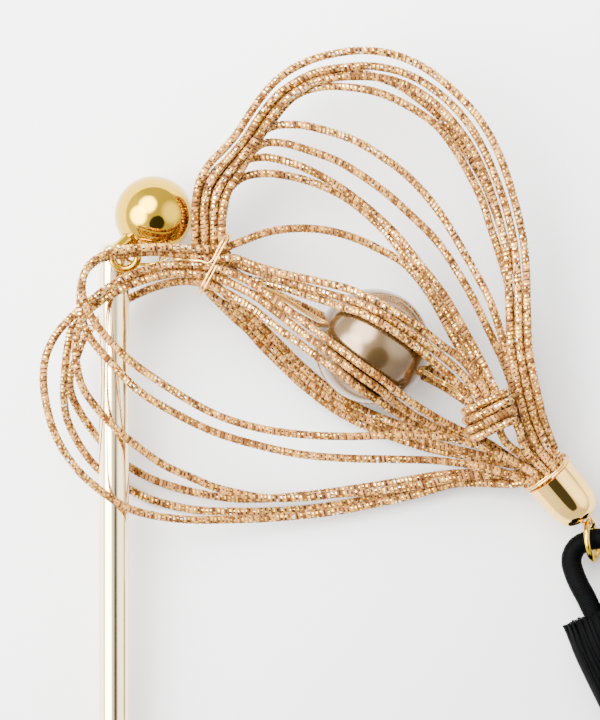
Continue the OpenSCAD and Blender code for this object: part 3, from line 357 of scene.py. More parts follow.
LOOP_ROUTE = [
    (29.91, -32.33, 3.75), (29.45, -31.33, 3.75), (29.03, -30.5, 3.72), (28.6, -29.6, 3.65),
    (28, -28.5, 3.5), (27.45, -27.2, 3.1), (27.2, -25.9, 2.65), (27.7, -24.7, 2.35),
    (28.8, -24.05, 2.4), (30.05, -23.8, 2.95), (31.3, -24, 3.55), (32.15, -24.8, 3.85),
    (32.4, -26.1, 3.9), (32.2, -27.5, 3.85), (31.6, -28.5, 3.78), (31.15, -29.1, 3.74),
    (31.1, -29.75, 3.73), (31.4, -30.43, 3.75), (31.86, -31.43, 3.75),
]

# Materials


class Value:
    """What a node of a finish gives, with Python's signs as Math nodes."""

    def __init__(self, finish, socket):
        self.finish = finish
        self.socket = socket

    def maths(self, operation, *values):
        return self.finish.node("Math", {"operation": operation}, dict(enumerate(values)))

    def __add__(self, other):
        return self.maths("ADD", self, other)

    def __radd__(self, other):
        return self.maths("ADD", other, self)

    def __sub__(self, other):
        return self.maths("SUBTRACT", self, other)

    def __rsub__(self, other):
        return self.maths("SUBTRACT", other, self)

    def __mul__(self, other):
        return self.maths("MULTIPLY", self, other)

    def __rmul__(self, other):
        return self.maths("MULTIPLY", other, self)

    def __abs__(self):
        return self.maths("ABSOLUTE", self)

    def floor(self):
        return self.maths("FLOOR", self)

    def fraction(self):
        return self.maths("FRACT", self)

    def between(self, low, high):
        """0 below low, 1 above high, and a smooth step between them."""
        return self.finish.node(
            "MapRange",
            {"interpolation_type": "SMOOTHSTEP"},
            {"Value": self, "From Min": low, "From Max": high},
        )


class Nodes:
    """The nodes of a finish or of the studio's light."""

    def __init__(self, tree):
        self.tree = tree

    def node(self, kind, settings=(), inputs=(), output=0):
        """Adds a node, sets it and its inputs, and gives one of its outputs."""
        made = self.tree.nodes.new("ShaderNode" + kind)
        for name, value in dict(settings).items():
            setattr(made, name, value)
        self.feed(made, inputs)
        return Value(self, made.outputs[output])

    def feed(self, made, inputs):
        for name, value in dict(inputs).items():
            if isinstance(value, Value):
                self.tree.links.new(value.socket, made.inputs[name])
            else:
                made.inputs[name].default_value = value

    def mix(self, first, second, share):
        """A colour between two colours."""
        ends = [end if isinstance(end, Value) else (*end, 1.0) for end in (first, second)]
        return self.node("Mix", {"data_type": "RGBA"}, {0: share, 6: ends[0], 7: ends[1]}, 2)

    def noise(self, place, scale, detail=2.0, roughness=0.5):
        inputs = {"Vector": place, "Scale": scale, "Detail": detail, "Roughness": roughness}
        return self.node("TexNoise", {}, inputs)

    def place(self):
        return self.node("TexCoord", {}, {}, "Object")

    def winding(self):
        """Turns along a wound piece, and the share of the way round it."""
        return self.node("UVMap", {"uv_map": "winding"}, {}, "UV")

    def part(self, place, axis):
        return self.node("SeparateXYZ", {}, {"Vector": place}, axis)

    def bump(self, height, strength, distance, under=None):
        inputs = {"Height": height, "Strength": strength, "Distance": distance}
        if under is not None:
            inputs["Normal"] = under
        return self.node("Bump", {}, inputs)


class Finish(Nodes):
    """A material and the nodes that make it."""

    def __init__(self, name):
        self.material = bpy.data.materials.new(name)
        self.material.use_nodes = True
        super().__init__(self.material.node_tree)
        self.shader = self.tree.nodes["Principled BSDF"]

    def surface(self, **inputs):
        """Sets inputs of the shader, such as base_color."""
        names = {name.replace("_", " ").title(): value for name, value in inputs.items()}
        fixes = {"Specular Level": "Specular IOR Level", "Coat Ior": "Coat IOR"}
        self.feed(self.shader, {fixes.get(name, name): value for name, value in names.items()})
        return self.material


def paper_finish(look):
    """Paper cord wound with pale silk thread, gilt foil showing between its turns, with painted
    shade, painted dark reflections and painted glints there.
    """
    paper = Finish("paper_cord")
    wound = paper.winding()
    turn = paper.part(wound, "X")
    around = paper.part(wound, "Y")
    # 1 in the middle of a groove, 0 on the crest of a turn
    rib = abs(turn.fraction() - 0.5) * 2

    def spot(x, y):
        return paper.node("CombineXYZ", {}, {"X": x, "Y": y})

    def over(along, across, **settings):
        """Noise with so many patches a turn, and so many round the cord."""
        return paper.noise(spot(turn * along, around * across), 1.0, **settings)

    def lot(x, y):
        """A chance number from 0 to 1 for each pair of numbers."""
        return paper.node("TexWhiteNoise", {"noise_dimensions": "2D"}, {"Vector": spot(x, y)})

    rich = over(0.05, 0.5).between(0.36, 0.64)
    # where the groove colour shows: painted shade between the turns, with the foil, painted dark
    # reflections and painted glints in it
    groove = (rib + rich * 0.25 + over(0.8, 7.0) * 0.3 - 0.15).between(0.58, 0.8)
    valley = (turn + 0.5).floor()
    cell = (around * 14 + lot(valley, 0.5) * 3).floor()
    roll = lot(valley, cell) + (rich - 0.5) * 0.22
    # painted reflection: dark dashes where the foil would reflect the dark
    dark = (1 - roll).between(0.72, 0.76)
    gilt = roll.between(0.5, 0.54)
    # painted glint: bright spots where the foil would reflect the light
    glint = roll.between(0.97, 0.98)
    pale = lot(turn.floor(), 0.2) * 0.3 + over(0.5, 2.0) * 0.6 + 0.12
    silk = paper.mix(look.silk, look.silk_light, pale.between(0.42, 0.8))
    fibre = over(0.3, 45.0)
    silk = paper.mix(silk, look.silk_deep, fibre.between(0.5, 0.8) * 0.35)
    foil = paper.mix(look.foil, look.foil_light, over(3.0, 14.0).between(0.4, 0.7))
    deep = paper.mix(look.groove, look.painted_dark_reflection, dark * 0.9)
    deep = paper.mix(deep, foil, gilt)
    deep = paper.mix(deep, look.glint, glint)
    shade = paper.mix(silk, deep, groove)
    metal = groove * gilt
    crumple = paper.bump(over(2.2, 11.0, detail=3.0), 0.6, 0.04 * MM)
    thread = paper.bump(over(0.4, 60.0), 0.25, 0.02 * MM, crumple)
    return paper.surface(
        base_color=shade,
        metallic=metal * 0.75,
        roughness=0.5 - metal * 0.3,
        normal=thread,
        specular_level=0.1,
    )


def metal_finish(name, base, deep, roughness=0.06):
    """Polished plated metal with faint scratches and a little tarnish."""
    metal = Finish(name)
    place = metal.place()
    cloud = metal.noise(place, 260.0, detail=4.0)
    squeezed = metal.node("Mapping", {}, {"Vector": place, "Scale": (900.0, 9000.0, 4000.0)})
    scratch = metal.noise(squeezed, 1.0, detail=3.0)
    shade = metal.mix(base, deep, cloud.between(0.45, 0.8) * 0.35)
    return metal.surface(
        base_color=shade,
        metallic=1.0,
        roughness=cloud * 0.05 + (roughness - 0.02) + scratch.between(0.6, 0.8) * 0.04,
        normal=metal.bump(scratch, 0.03, 0.01 * MM),
    )


def pearl_finish(look):
    """Champagne pearl: a deep satin body under a thin clear coat."""
    pearl = Finish("pearl_lustre")
    cloud = pearl.noise(pearl.place(), 180.0, detail=3.0)
    shade = pearl.mix(look.pearl, look.pearl_cloud, cloud.between(0.4, 0.75) * 0.6)
    return pearl.surface(
        base_color=shade,
        metallic=0.85,
        roughness=0.2 + cloud * 0.06,
        coat_weight=0.8,
        coat_roughness=0.1,
        coat_ior=1.6,
        normal=pearl.bump(cloud, 0.03, 0.02 * MM),
    )


def silk_finish(look):
    """Black silky yarn, its fibres running along each thread, with painted sheen along them."""
    yarn = Finish("black_yarn")
    stretched = yarn.node("Mapping", {}, {"Vector": yarn.winding(), "Scale": (1.5, 30.0, 1.0)})
    fibre = yarn.noise(stretched, 1.0, detail=3.0)
    cloud = yarn.noise(yarn.place(), 900.0)
    # painted sheen: lighter streaks along the fibres
    shade = yarn.mix(look.black, look.painted_black_sheen, fibre.between(0.45, 0.75))
    shade = yarn.mix(shade, look.black_blue, cloud.between(0.5, 0.75) * 0.5)
    return yarn.surface(
        base_color=shade,
        roughness=0.42 + fibre * 0.2,
        normal=yarn.bump(fibre, 0.5, 0.03 * MM),
        specular_level=0.02,
    )


# Paths


def smooth(points, step):
    """A smooth path through all points, as the CAD has it."""
    points = np.asarray(points, float)
    path = []
    for i in range(len(points) - 1):
        before = points[max(i - 1, 0)]
        here = points[i]
        there = points[i + 1]
        after = points[min(i + 2, len(points) - 1)]
        way = there - before
        bend = 2 * before - 5 * here + 4 * there - after
        sway = 3 * here - before - 3 * there + after
        count = max(1, round(float(np.linalg.norm(there - here)) / step))
        for t in np.arange(count) / count:
            path.append((2 * here + way * t + bend * t * t + sway * t**3) / 2)
    path.append(points[-1])
    return np.array(path)


def along(path):
    """Length of the path up to each of its points."""
    steps = np.linalg.norm(np.diff(path, axis=0), axis=1)
    return np.concatenate(([0.0], np.cumsum(steps)))


def even(path, step):
    """The path with its points evenly spaced."""
    lengths = along(path)
    count = max(2, round(lengths[-1] / step))
    wanted = np.linspace(0, lengths[-1], count + 1)
    return np.stack([np.interp(wanted, lengths, path[:, i]) for i in range(3)], axis=1)


def frames(path):
    """The way of the path and a pair of ways across it, turned as little as it can be."""
    ways = np.empty_like(path)
    ways[1:-1] = path[2:] - path[:-2]
    ways[0] = path[1] - path[0]
    ways[-1] = path[-1] - path[-2]
    ways /= np.linalg.norm(ways, axis=1)[:, None]
    down = -UP if abs(ways[0][2]) < 0.9 else direction(0)
    side = unit(down - ways[0] * (down @ ways[0]))
    sides = np.empty_like(path)
    for i, way in enumerate(ways):
        side = unit(side - way * (side @ way))
        sides[i] = side
    return ways, sides, np.cross(ways, sides)


def cap_ways():
    """The ways into the cap, across its mouth and up it."""
    lean = np.radians(CAP_LEAN)
    inward = direction(CAP_TURN) * np.cos(lean) - UP * np.sin(lean)
    side = direction(CAP_TURN + 90)
    return inward, side, np.cross(inward, side)


def cap_slot(across, up, depth):
    """A place in the cap's mouth: across and up in half pitches and rows, then deeper."""
    inward, side, upward = cap_ways()
    return CAP_AT + side * across * PITCH / 2 + upward * up * ROW_UP + inward * depth * MM


def cord_path(route, mouth=None, far=None):
    """The whole way of a paper cord, its ends led into the cap where they go there."""
    start = [cap_slot(*mouth, depth) for depth in reversed(CAP_DEPTHS)] if mouth else []
    end = [cap_slot(*far, depth) for depth in CAP_DEPTHS] if far else []
    return smooth([*start, *(np.array(route) * MM), *end], 0.4 * MM) - START


def turns(count, steps, half_across, half_up, pitch, bulge, start):
    """Turns round a bundle: along it, across it and up."""
    angles = np.radians(start + 360 * np.arange(count * steps + 1) / steps)
    across = half_across * np.sign(np.cos(angles)) * np.abs(np.cos(angles)) ** bulge
    up = half_up * np.sign(np.sin(angles)) * np.abs(np.sin(angles)) ** bulge
    return np.stack((pitch * np.arange(len(angles)) / steps, across, up), axis=1)


def bulged(points, share_across, share_up):
    """The same turns, fuller in the middle of their length."""
    half = points[-1, 0] / 2
    fuller = 1 - (points[:, 0] / half - 1) ** 2
    scale = np.stack((0 * fuller, share_across * fuller, share_up * fuller), axis=1)
    return points * (1 + scale)


def place(points, middle, forth, side, up=UP, back=0.0):
    """Sets points, given along, across and up, at a place, moved back along the first way."""
    along_way, across, high = np.asarray(points).T[:, :, None]
    return middle + forth * (along_way - back) + side * across + up * high


# Meshes


def dressed(made, finish, node):
    """Gives a piece its finish and lets it ride on the part, in the place of its CAD node."""
    made.data.materials.append(finish)
    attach(made, BODY)
    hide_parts(node)
    return made


def piece(name, mesh, finish, node):
    """A finished piece from its points, its faces and its corners on the winding."""
    points, faces, corners = mesh
    skin = bpy.data.meshes.new(name)
    skin.from_pydata([tuple(p) for p in points], [], faces)
    skin.update()
    layer = skin.uv_layers.new(name="winding")
    layer.data.foreach_set("uv", np.asarray(corners, np.float32).ravel())
    skin.polygons.foreach_set("use_smooth", [True] * len(skin.polygons))
    made = bpy.data.objects.new(name, skin)
    bpy.context.scene.collection.objects.link(made)
    return dressed(made, finish, node)


def rows_of_faces(rows, sides, number, spots):
    """Faces between the rows of a tube, and their corners on the winding."""
    faces = []
    corners = []
    for row in range(rows - 1):
        for side in range(sides):
            square = ((row, side), (row, side + 1), (row + 1, side + 1), (row + 1, side))
            faces.append(tuple(number(*corner) for corner in square))
            corners += [(spots[at_row], at_side / sides) for at_row, at_side in square]
    return faces, corners


def wound_mesh(path, radius, sides, pitch, profile, first=0.0):
    """Points, faces and winding corners of a cord whose outer thread runs round it.

    Each row starts a little further along at each side, so that after one turn it meets
    the row that lies one pitch on. profile holds the radius of each row of one pitch.
    """
    rows_a_turn = len(profile)
    fine = even(path, pitch / rows_a_turn)
    sides_way, other_way = frames(fine)[1:]
    rows = len(fine) - rows_a_turn

    def point(row, side):
        spot = min(row + rows_a_turn * side / sides, len(fine) - 1.0)
        low = min(int(spot), len(fine) - 2)
        share = spot - low
        middle = fine[low] * (1 - share) + fine[low + 1] * share
        one = sides_way[low] * (1 - share) + sides_way[low + 1] * share
        two = other_way[low] * (1 - share) + other_way[low + 1] * share
        angle = 2 * np.pi * side / sides
        reach = radius * profile[row % rows_a_turn]
        return middle + reach * (np.cos(angle) * one + np.sin(angle) * two)

    points = [point(row, side) for row in range(rows) for side in range(sides)]
    points += [point(row, 0) for row in range(rows, rows + rows_a_turn)]

    def number(row, side):
        if side < sides:
            return row * sides + side if row < rows else rows * sides + row - rows
        return number(row + rows_a_turn, 0)

    faces, corners = rows_of_faces(rows, sides, number, np.arange(rows) / rows_a_turn + first)
    start_loop = [number(row, 0) for row in range(1, rows_a_turn + 1)]
    start_loop += [number(0, side) for side in range(sides - 1, -1, -1)]
    end_loop = [number(rows - 1, side) for side in range(sides)]
    end_loop += [number(row, 0) for row in range(rows - 1 + rows_a_turn, rows - 1, -1)]
    for loop, spot in ((start_loop, rows_a_turn // 2), (end_loop, len(fine) - 1)):
        middle = len(points)
        points.append(fine[spot])
        for here, there in zip(loop, loop[1:] + loop[:1]):
            faces.append((middle, here, there))
            corners += [(first, 0.0), (first, 0.5), (first, 1.0)]
    return points, faces, corners


def tube_mesh(path, radii, sides, first=0.0):
    """Points, faces and corners of a closed tube, its radius given at each point."""
    one, two = frames(path)[1:]
    rows = len(path)
    angles = 2 * np.pi * np.arange(sides)[:, None] / sides
    radii = np.broadcast_to(radii, rows)
    circles = np.cos(angles) * one[:, None, :] + np.sin(angles) * two[:, None, :]
    points = (path[:, None, :] + radii[:, None, None] * circles).reshape(-1, 3)

    def number(row, side):
        return row * sides + side % sides

    faces, corners = rows_of_faces(rows, sides, number, along(path) / MM + first)
    faces.append(tuple(range(sides - 1, -1, -1)))
    faces.append(tuple(number(rows - 1, side) for side in range(sides)))
    corners += [(first, 0.0)] * (2 * sides)
    return points, faces, corners


def join_meshes(meshes):
    """Several meshes as one."""
    points = []
    faces = []
    corners = []
    for more_points, more_faces, more_corners in meshes:
        shift = len(points)
        points += list(more_points)
        faces += [tuple(index + shift for index in face) for face in more_faces]
        corners += more_corners
    return points, faces, corners


# Sizes and colours that can be changed


def shade_property(name, text, *screen):
    """A colour, given by its screen values from 0 to 255."""
    share = np.array(screen) / 255
    light = np.where(share <= 0.04045, share / 12.92, ((share + 0.055) / 1.055) ** 2.4)
    return FloatVectorProperty(
        name=name, description=text, subtype="COLOR", size=3, min=0, max=1, default=light.tolist()
    )


def length_property(name, text, default, low, high):
    """A length in metres and the range that it can be changed in."""
    return FloatProperty(
        name=name, description=text, default=default, min=low, max=high, unit="LENGTH"
    )


class CordLook(bpy.types.PropertyGroup):
    """Winding and colours of the paper cords."""

    winding_pitch: length_property(
        "Winding pitch", "From one turn of the outer thread to the next", 0.4 * MM, 0.1 * MM, 0.6 * MM
    )
    groove_depth: FloatProperty(
        name="Groove depth",
        description="Depth between two turns, as a part of the cord's radius",
        default=0.11,
        min=0,
        max=0.3,
    )
    sides: IntProperty(
        name="Sides", description="Sides of a cord's cross-section", default=12, min=6, max=24
    )
    silk: shade_property("Silk", "Main colour of the thread", 97, 58, 18)
    silk_light: shade_property("Light silk", "Pale turns of the thread", 181, 128, 74)
    silk_deep: shade_property("Deep silk", "Shaded fibres of the thread", 85, 48, 13)
    # painted shade: the groove colour darkens the cord between its turns
    groove: shade_property("Groove", "Colour between the turns", 89, 48, 13)
    foil: shade_property("Foil", "Gilt foil", 237, 173, 60)
    foil_light: shade_property("Light foil", "Pale gilt foil", 255, 226, 124)
    # painted reflection of the dark on the foil
    painted_dark_reflection: shade_property("Speck", "Foil that reflects the dark", 28, 21, 15)
    # painted glint on the foil
    glint: shade_property("Glint", "Foil that reflects the light", 255, 247, 225)


class MetalLook(bpy.types.PropertyGroup):
    """Colours of the metal parts."""

    gold: shade_property("Gold", "Plating of the ball, cap and rings", 197, 158, 33)
    gold_deep: shade_property("Deep gold", "Tarnish of the gold", 181, 134, 33)
    gold_light: shade_property("Light gold", "Plating of the cap and wires", 253, 206, 111)
    champagne: shade_property("Champagne", "Plating of the stick", 249, 226, 182)
    champagne_deep: shade_property("Deep champagne", "Tarnish of the stick", 231, 203, 158)


class PearlLook(bpy.types.PropertyGroup):
    """Colours of the pearl."""

    pearl: shade_property("Pearl", "Body of the pearl", 108, 82, 47)
    pearl_cloud: shade_property("Cloud", "Deeper parts of the lustre", 89, 66, 33)


class TasselLook(bpy.types.PropertyGroup):
    """Threads and colours of the tassel."""

    strands: IntProperty(
        name="Strands", description="Threads in each lock of the fringe", default=70, min=10, max=200
    )
    strand: length_property("Strand", "Thickness of one thread", 0.26 * MM, 0.1 * MM, 0.6 * MM)
    loop_pitch: length_property(
        "Loop pitch", "From one turn of the loop's thread to the next", 0.21 * MM, 0.1 * MM, 1 * MM
    )
    black: shade_property("Black", "Shaded side of the yarn", 2, 2, 2)
    # painted sheen of the yarn
    painted_black_sheen: shade_property("Light black", "Yarn that catches the light", 5, 5, 6)
    black_blue: shade_property("Blue black", "Cool parts of the yarn", 3, 5, 7)


class StageLook(bpy.types.PropertyGroup):
    """Floor, light and camera."""

    floor: shade_property("Floor", "Colour of the floor", 240, 240, 240)
    # painted shade of the floor at the lower right
    floor_painted_shade: shade_property("Far floor", "Floor at the lower right", 190, 188, 188)
    light: shade_property("Light", "Colour of the room's light", 255, 255, 255)
    room: FloatProperty(
        name="Room", description="Brightness of the room", default=1.6, min=0, max=10
    )
    window: FloatProperty(
        name="Window", description="Brightness of the window", default=21.5, min=0, max=100
    )
    camera_height: length_property("Camera height", "From the floor to the camera", 1.5, 0.3, 5)


# Pieces


class OBJECT_OT_hairpin_cords(bpy.types.Operator):
    """Winds the paper cords of both lobes and of the knot"""

    bl_idname = "object.hairpin_cords"
    bl_label = "Paper cords"

    def execute(self, context):
        look = context.scene.hairpin_cord_look
        finish = paper_finish(look)
        paths = {name: cord_path(route, *ends) for name, (route, ends) in CORDS.items()}
        paths["knot_cord"] = knot_path()
        low = 1 - look.groove_depth
        profile = (low, 0.985, 1.0, 0.985)
        for number, (name, path) in enumerate(paths.items()):
            # far apart on the winding, so that no two cords show the same pattern
            start = number * 1000.0
            mesh = wound_mesh(path, CORD / 2, look.sides, look.winding_pitch, profile, start)
            piece(name + "_wound", mesh, finish, name)
        return {"FINISHED"}


def knot_path():
    """Turns of the knot from the upper left down to the lower right, then into the cap."""
    gap = 0.11 * MM
    rounds = 3.5
    pitch = CORD + gap
    loops = turns(rounds, 16, 1.5 * PITCH + pitch, -0.5 * PITCH - pitch, pitch, 0.6, 180)
    loops = bulged(loops, 0.08, 0.3)
    ways = direction(KNOT_TURN), direction(KNOT_ACROSS)
    loops = place(loops, KNOT_AT, *ways, back=rounds * pitch / 2)
    end = [cap_slot(*KNOT_FAR, depth) for depth in CAP_DEPTHS]
    return smooth([*loops, *(np.array(KNOT_TAIL) * MM), *end], 0.3 * MM) - START


class OBJECT_OT_hairpin_wires(bpy.types.Operator):
    """Winds the tie wire, the pearl's thread and the wire at the cap"""

    bl_idname = "object.hairpin_wires"
    bl_label = "Wires"

    def execute(self, context):
        look = context.scene.hairpin_metal_look
        finish = metal_finish("gold_wire", look.gold_light, look.gold, 0.16)
        rounds = 2
        pitch = WIRE + 0.16 * MM
        loops = turns(rounds, 18, TIE_ACROSS, TIE_UP, pitch, 0.5, 90)
        ways = direction(TIE_TURN), direction(TIE_TURN + 90)
        loops = place(loops, TIE_AT, *ways, back=rounds * pitch / 2)
        hook = even(smooth(np.array(TIE_HOOK) * MM, 0.2 * MM), 0.3 * MM)
        tie = even(smooth([*hook, *loops], 0.1 * MM), 0.15 * MM) - START
        mesh = tube_mesh(tie, WIRE / 2, 8)
        piece("tie_wire_wound", mesh, finish, "tie_wire")

        loops = turns(2, 48, WIRE_REACH, WIRE_REACH, WIRE + 0.03 * MM, 1, 90)
        binding = place(loops, CAP_AT, *cap_ways(), back=WIRE_BACK) - START
        mesh = tube_mesh(binding, WIRE / 2, 8)
        piece("binding_wire_wound", mesh, finish, "binding_wire")

        way = direction(PEARL_TURN)
        outside = PEARL / 2 + 0.6 * MM
        inside = 2.5 * MM
        middle = [PEARL_AT + way * spot for spot in (-outside, -inside, inside, outside)]
        route = [*(np.array(THREAD_IN) * MM), *middle, *(np.array(THREAD_OUT) * MM)]
        thread = even(smooth(route, 0.2 * MM), 0.15 * MM) - START
        beside = np.cross(UP, frames(thread)[0])
        shift = STRAND_PITCH / 2 * beside
        strands = [tube_mesh(thread + sign * shift, STRAND / 2, 10) for sign in (-1, 1)]
        piece("pearl_cord_doubled", join_meshes(strands), finish, "pearl_cord")
        return {"FINISHED"}


def turned(sections, sides):
    """A shape turned on a lathe along +Z, made by extruding a disc from ring to ring."""
    radius, height = sections[0]
    bpy.ops.mesh.primitive_circle_add(vertices=sides, radius=radius, fill_type="NGON")
    made = bpy.context.object
    bpy.ops.object.mode_set(mode="EDIT")
    bpy.ops.mesh.select_all(action="SELECT")
    bpy.ops.transform.translate(value=(0, 0, height))
    for next_radius, next_height in sections[1:]:
        rise = {"value": (0, 0, next_height - height)}
        bpy.ops.mesh.extrude_region_move(TRANSFORM_OT_translate=rise)
        share = next_radius / radius
        bpy.ops.transform.resize(value=(share, share, 1), center_override=(0, 0, next_height))
        radius, height = next_radius, next_height
    bpy.ops.mesh.select_all(action="SELECT")
    bpy.ops.mesh.normals_make_consistent(inside=False)
    bpy.ops.object.mode_set(mode="OBJECT")
    return made


def arc(radius, first, last, count, middle=0.0):
    """Rings of a ball on a lathe, between two angles from its lower pole."""
    angles = np.radians(np.linspace(first, last, count))
    return [(radius * float(np.sin(a)), middle - radius * float(np.cos(a))) for a in angles]


def pick(made):
    """Selects one object alone."""
    bpy.ops.object.select_all(action="DESELECT")
    made.select_set(True)
    bpy.context.view_layer.objects.active = made


def put(made, spot, turn):
    """Sets a shape at its place and applies it, so that its object stays at the origin."""
    made.rotation_euler = [float(np.radians(angle)) for angle in turn]
    made.location = [float(value) for value in spot]
    pick(made)
    bpy.ops.object.transform_apply(location=True, rotation=True, scale=True)
    return made


def solder(made, other, operation="UNION"):
    """Joins another closed shape to this one, or takes it away, and leaves one skin."""
    bpy.context.view_layer.objects.active = made
    bpy.ops.object.modifier_add(type="BOOLEAN")
    joint = made.modifiers[-1]
    joint.operation = operation
    joint.solver = "EXACT"
    joint.object = other
    bpy.ops.object.modifier_apply(modifier=joint.name)
    bpy.data.objects.remove(other)
    return made


def ring(middle, turn, mean_radius, wire, sides=64, wire_sides=24):
    """A ring of round wire, set at its place."""
    bpy.ops.mesh.primitive_torus_add(
        major_radius=mean_radius,
        minor_radius=wire / 2,
        major_segments=sides,
        minor_segments=wire_sides,
    )
    return put(bpy.context.object, middle, turn)


def finished(made, name, finish, node, angle=35):
    """Names a shaped piece, shades it and lets it ride on the part."""
    made.name = name
    pick(made)
    bpy.ops.object.shade_smooth_by_angle(angle=float(np.radians(angle)))
    made.data.materials.clear()
    return dressed(made, finish, node)


class OBJECT_OT_hairpin_stick(bpy.types.Operator):
    """Turns the stick with its flat top and slim tip"""

    bl_idname = "object.hairpin_stick"
    bl_label = "Stick"

    def execute(self, context):
        look = context.scene.hairpin_metal_look
        radius = STICK / 2
        tip = TIP / 2
        run = STICK_LEN - tip
        lean = np.degrees(np.arcsin((STICK_TOP[2] - tip) / run))
        flat = radius - STICK_EDGE
        rounded = arc(STICK_EDGE, 0, 90, 12, STICK_EDGE)
        sections = [(0.02 * MM, 0.0), *((flat + reach, height) for reach, height in rounded)]
        shares = (0.25, 0.5, 0.75, 1)
        sections += [(radius, (run - TAPER_LEN) * share) for share in shares]
        slope = tip - radius
        sections += [(radius + slope * share, run - TAPER_LEN * (1 - share)) for share in shares]
        sections += arc(tip, 95, 178, 10, run)
        finish = metal_finish("champagne_plate", look.champagne, look.champagne_deep, 0.08)
        made = put(turned(sections, 72), STICK_TOP - START, (90 + lean, 0, 0))
        finished(made, "stick_turned", finish, "stick")
        return {"FINISHED"}


class OBJECT_OT_hairpin_ball(bpy.types.Operator):
    """Turns the ball and solders its neck and the thick ring to it"""

    bl_idname = "object.hairpin_ball"
    bl_label = "Ball with its ring"

    def execute(self, context):
        look = context.scene.hairpin_metal_look
        gold = metal_finish("gold_plate", look.gold, look.gold_deep)
        ball = put(turned(arc(BALL / 2, 1, 179, 61), 96), BALL_AT - START, (0, 0, 0))
        way = BALL_AT - NECK_FROM
        length = float(np.linalg.norm(way))
        lean = np.degrees(np.arccos(way[2] / length))
        turn = np.degrees(np.arctan2(way[1], way[0]))
        wide = NECK / 2 + 0.2 * MM
        sections = arc(NECK / 2, 5, 90, 8)
        sections += [(NECK / 2 + 0.09 * MM, length * 0.4), (wide, length * 0.9)]
        neck = put(turned(sections, 40), NECK_FROM - START, (0, lean, turn))
        collar = ring(RING_TOP_AT - START, (0, 0, 0), (RING_TOP - RING_TOP_WIRE) / 2, RING_TOP_WIRE)
        made = solder(solder(ball, neck), collar)
        finished(made, "ball_top_soldered", gold, "ball_top", 50)
        for name in ("jump_ring", "ring_link"):
            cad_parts[name].data.materials[0] = gold
        return {"FINISHED"}


class OBJECT_OT_hairpin_cap(bpy.types.Operator):
    """Turns the bell cap, hollow at its mouth, and solders its bail on"""

    bl_idname = "object.hairpin_cap"
    bl_label = "Bell cap"

    def execute(self, context):
        look = context.scene.hairpin_metal_look
        gold = metal_finish("gold_plate_cap", look.gold_light, look.gold)
        hole = CAP / 2 - CAP_WALL
        lip = 0.08 * MM
        sections = [(0.05 * MM, CAP_HOLE), (hole - lip, CAP_HOLE), (hole, CAP_HOLE - lip)]
        sections += [(hole, 0.5 * CAP_HOLE), (hole, lip), (hole + lip, 0), (CAP / 2 - lip, 0)]
        sections += [
            (CAP / 2 * share, CAP_LEN * height + (lip if height == 0 else 0.0))
            for share, height in CAP_FORM
        ]
        bail_at = (0, 0, CAP_LEN + 0.45 * MM)
        bail = ring(bail_at, (90, 0, BAIL_TURN), BAIL / 2, BAIL_WIRE, 48, 20)
        lie = CAP_AT - START, (0, 90 + CAP_LEAN, CAP_TURN)
        cap = put(turned(sections, 96), *lie)
        bail = put(bail, *lie)
        finished(solder(cap, bail), "end_cap_turned", gold, "end_cap")
        return {"FINISHED"}


class OBJECT_OT_hairpin_pearl(bpy.types.Operator):
    """Gives the pearl its lustre"""

    bl_idname = "object.hairpin_pearl"
    bl_label = "Pearl"

    def execute(self, context):
        finish = pearl_finish(context.scene.hairpin_pearl_look)
        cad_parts["pearl"].data.materials[0] = finish
        return {"FINISHED"}


# radians from one thread of a lock to the next, which spreads them evenly
GOLDEN_TURN = 2.39996


def tassel_place(points):
    """Moves points of the hanging tassel, its length along X, to where it lies."""
    return place(points, HEAD_AT - START, direction(TASSEL_TURN), direction(TASSEL_TURN + 90))


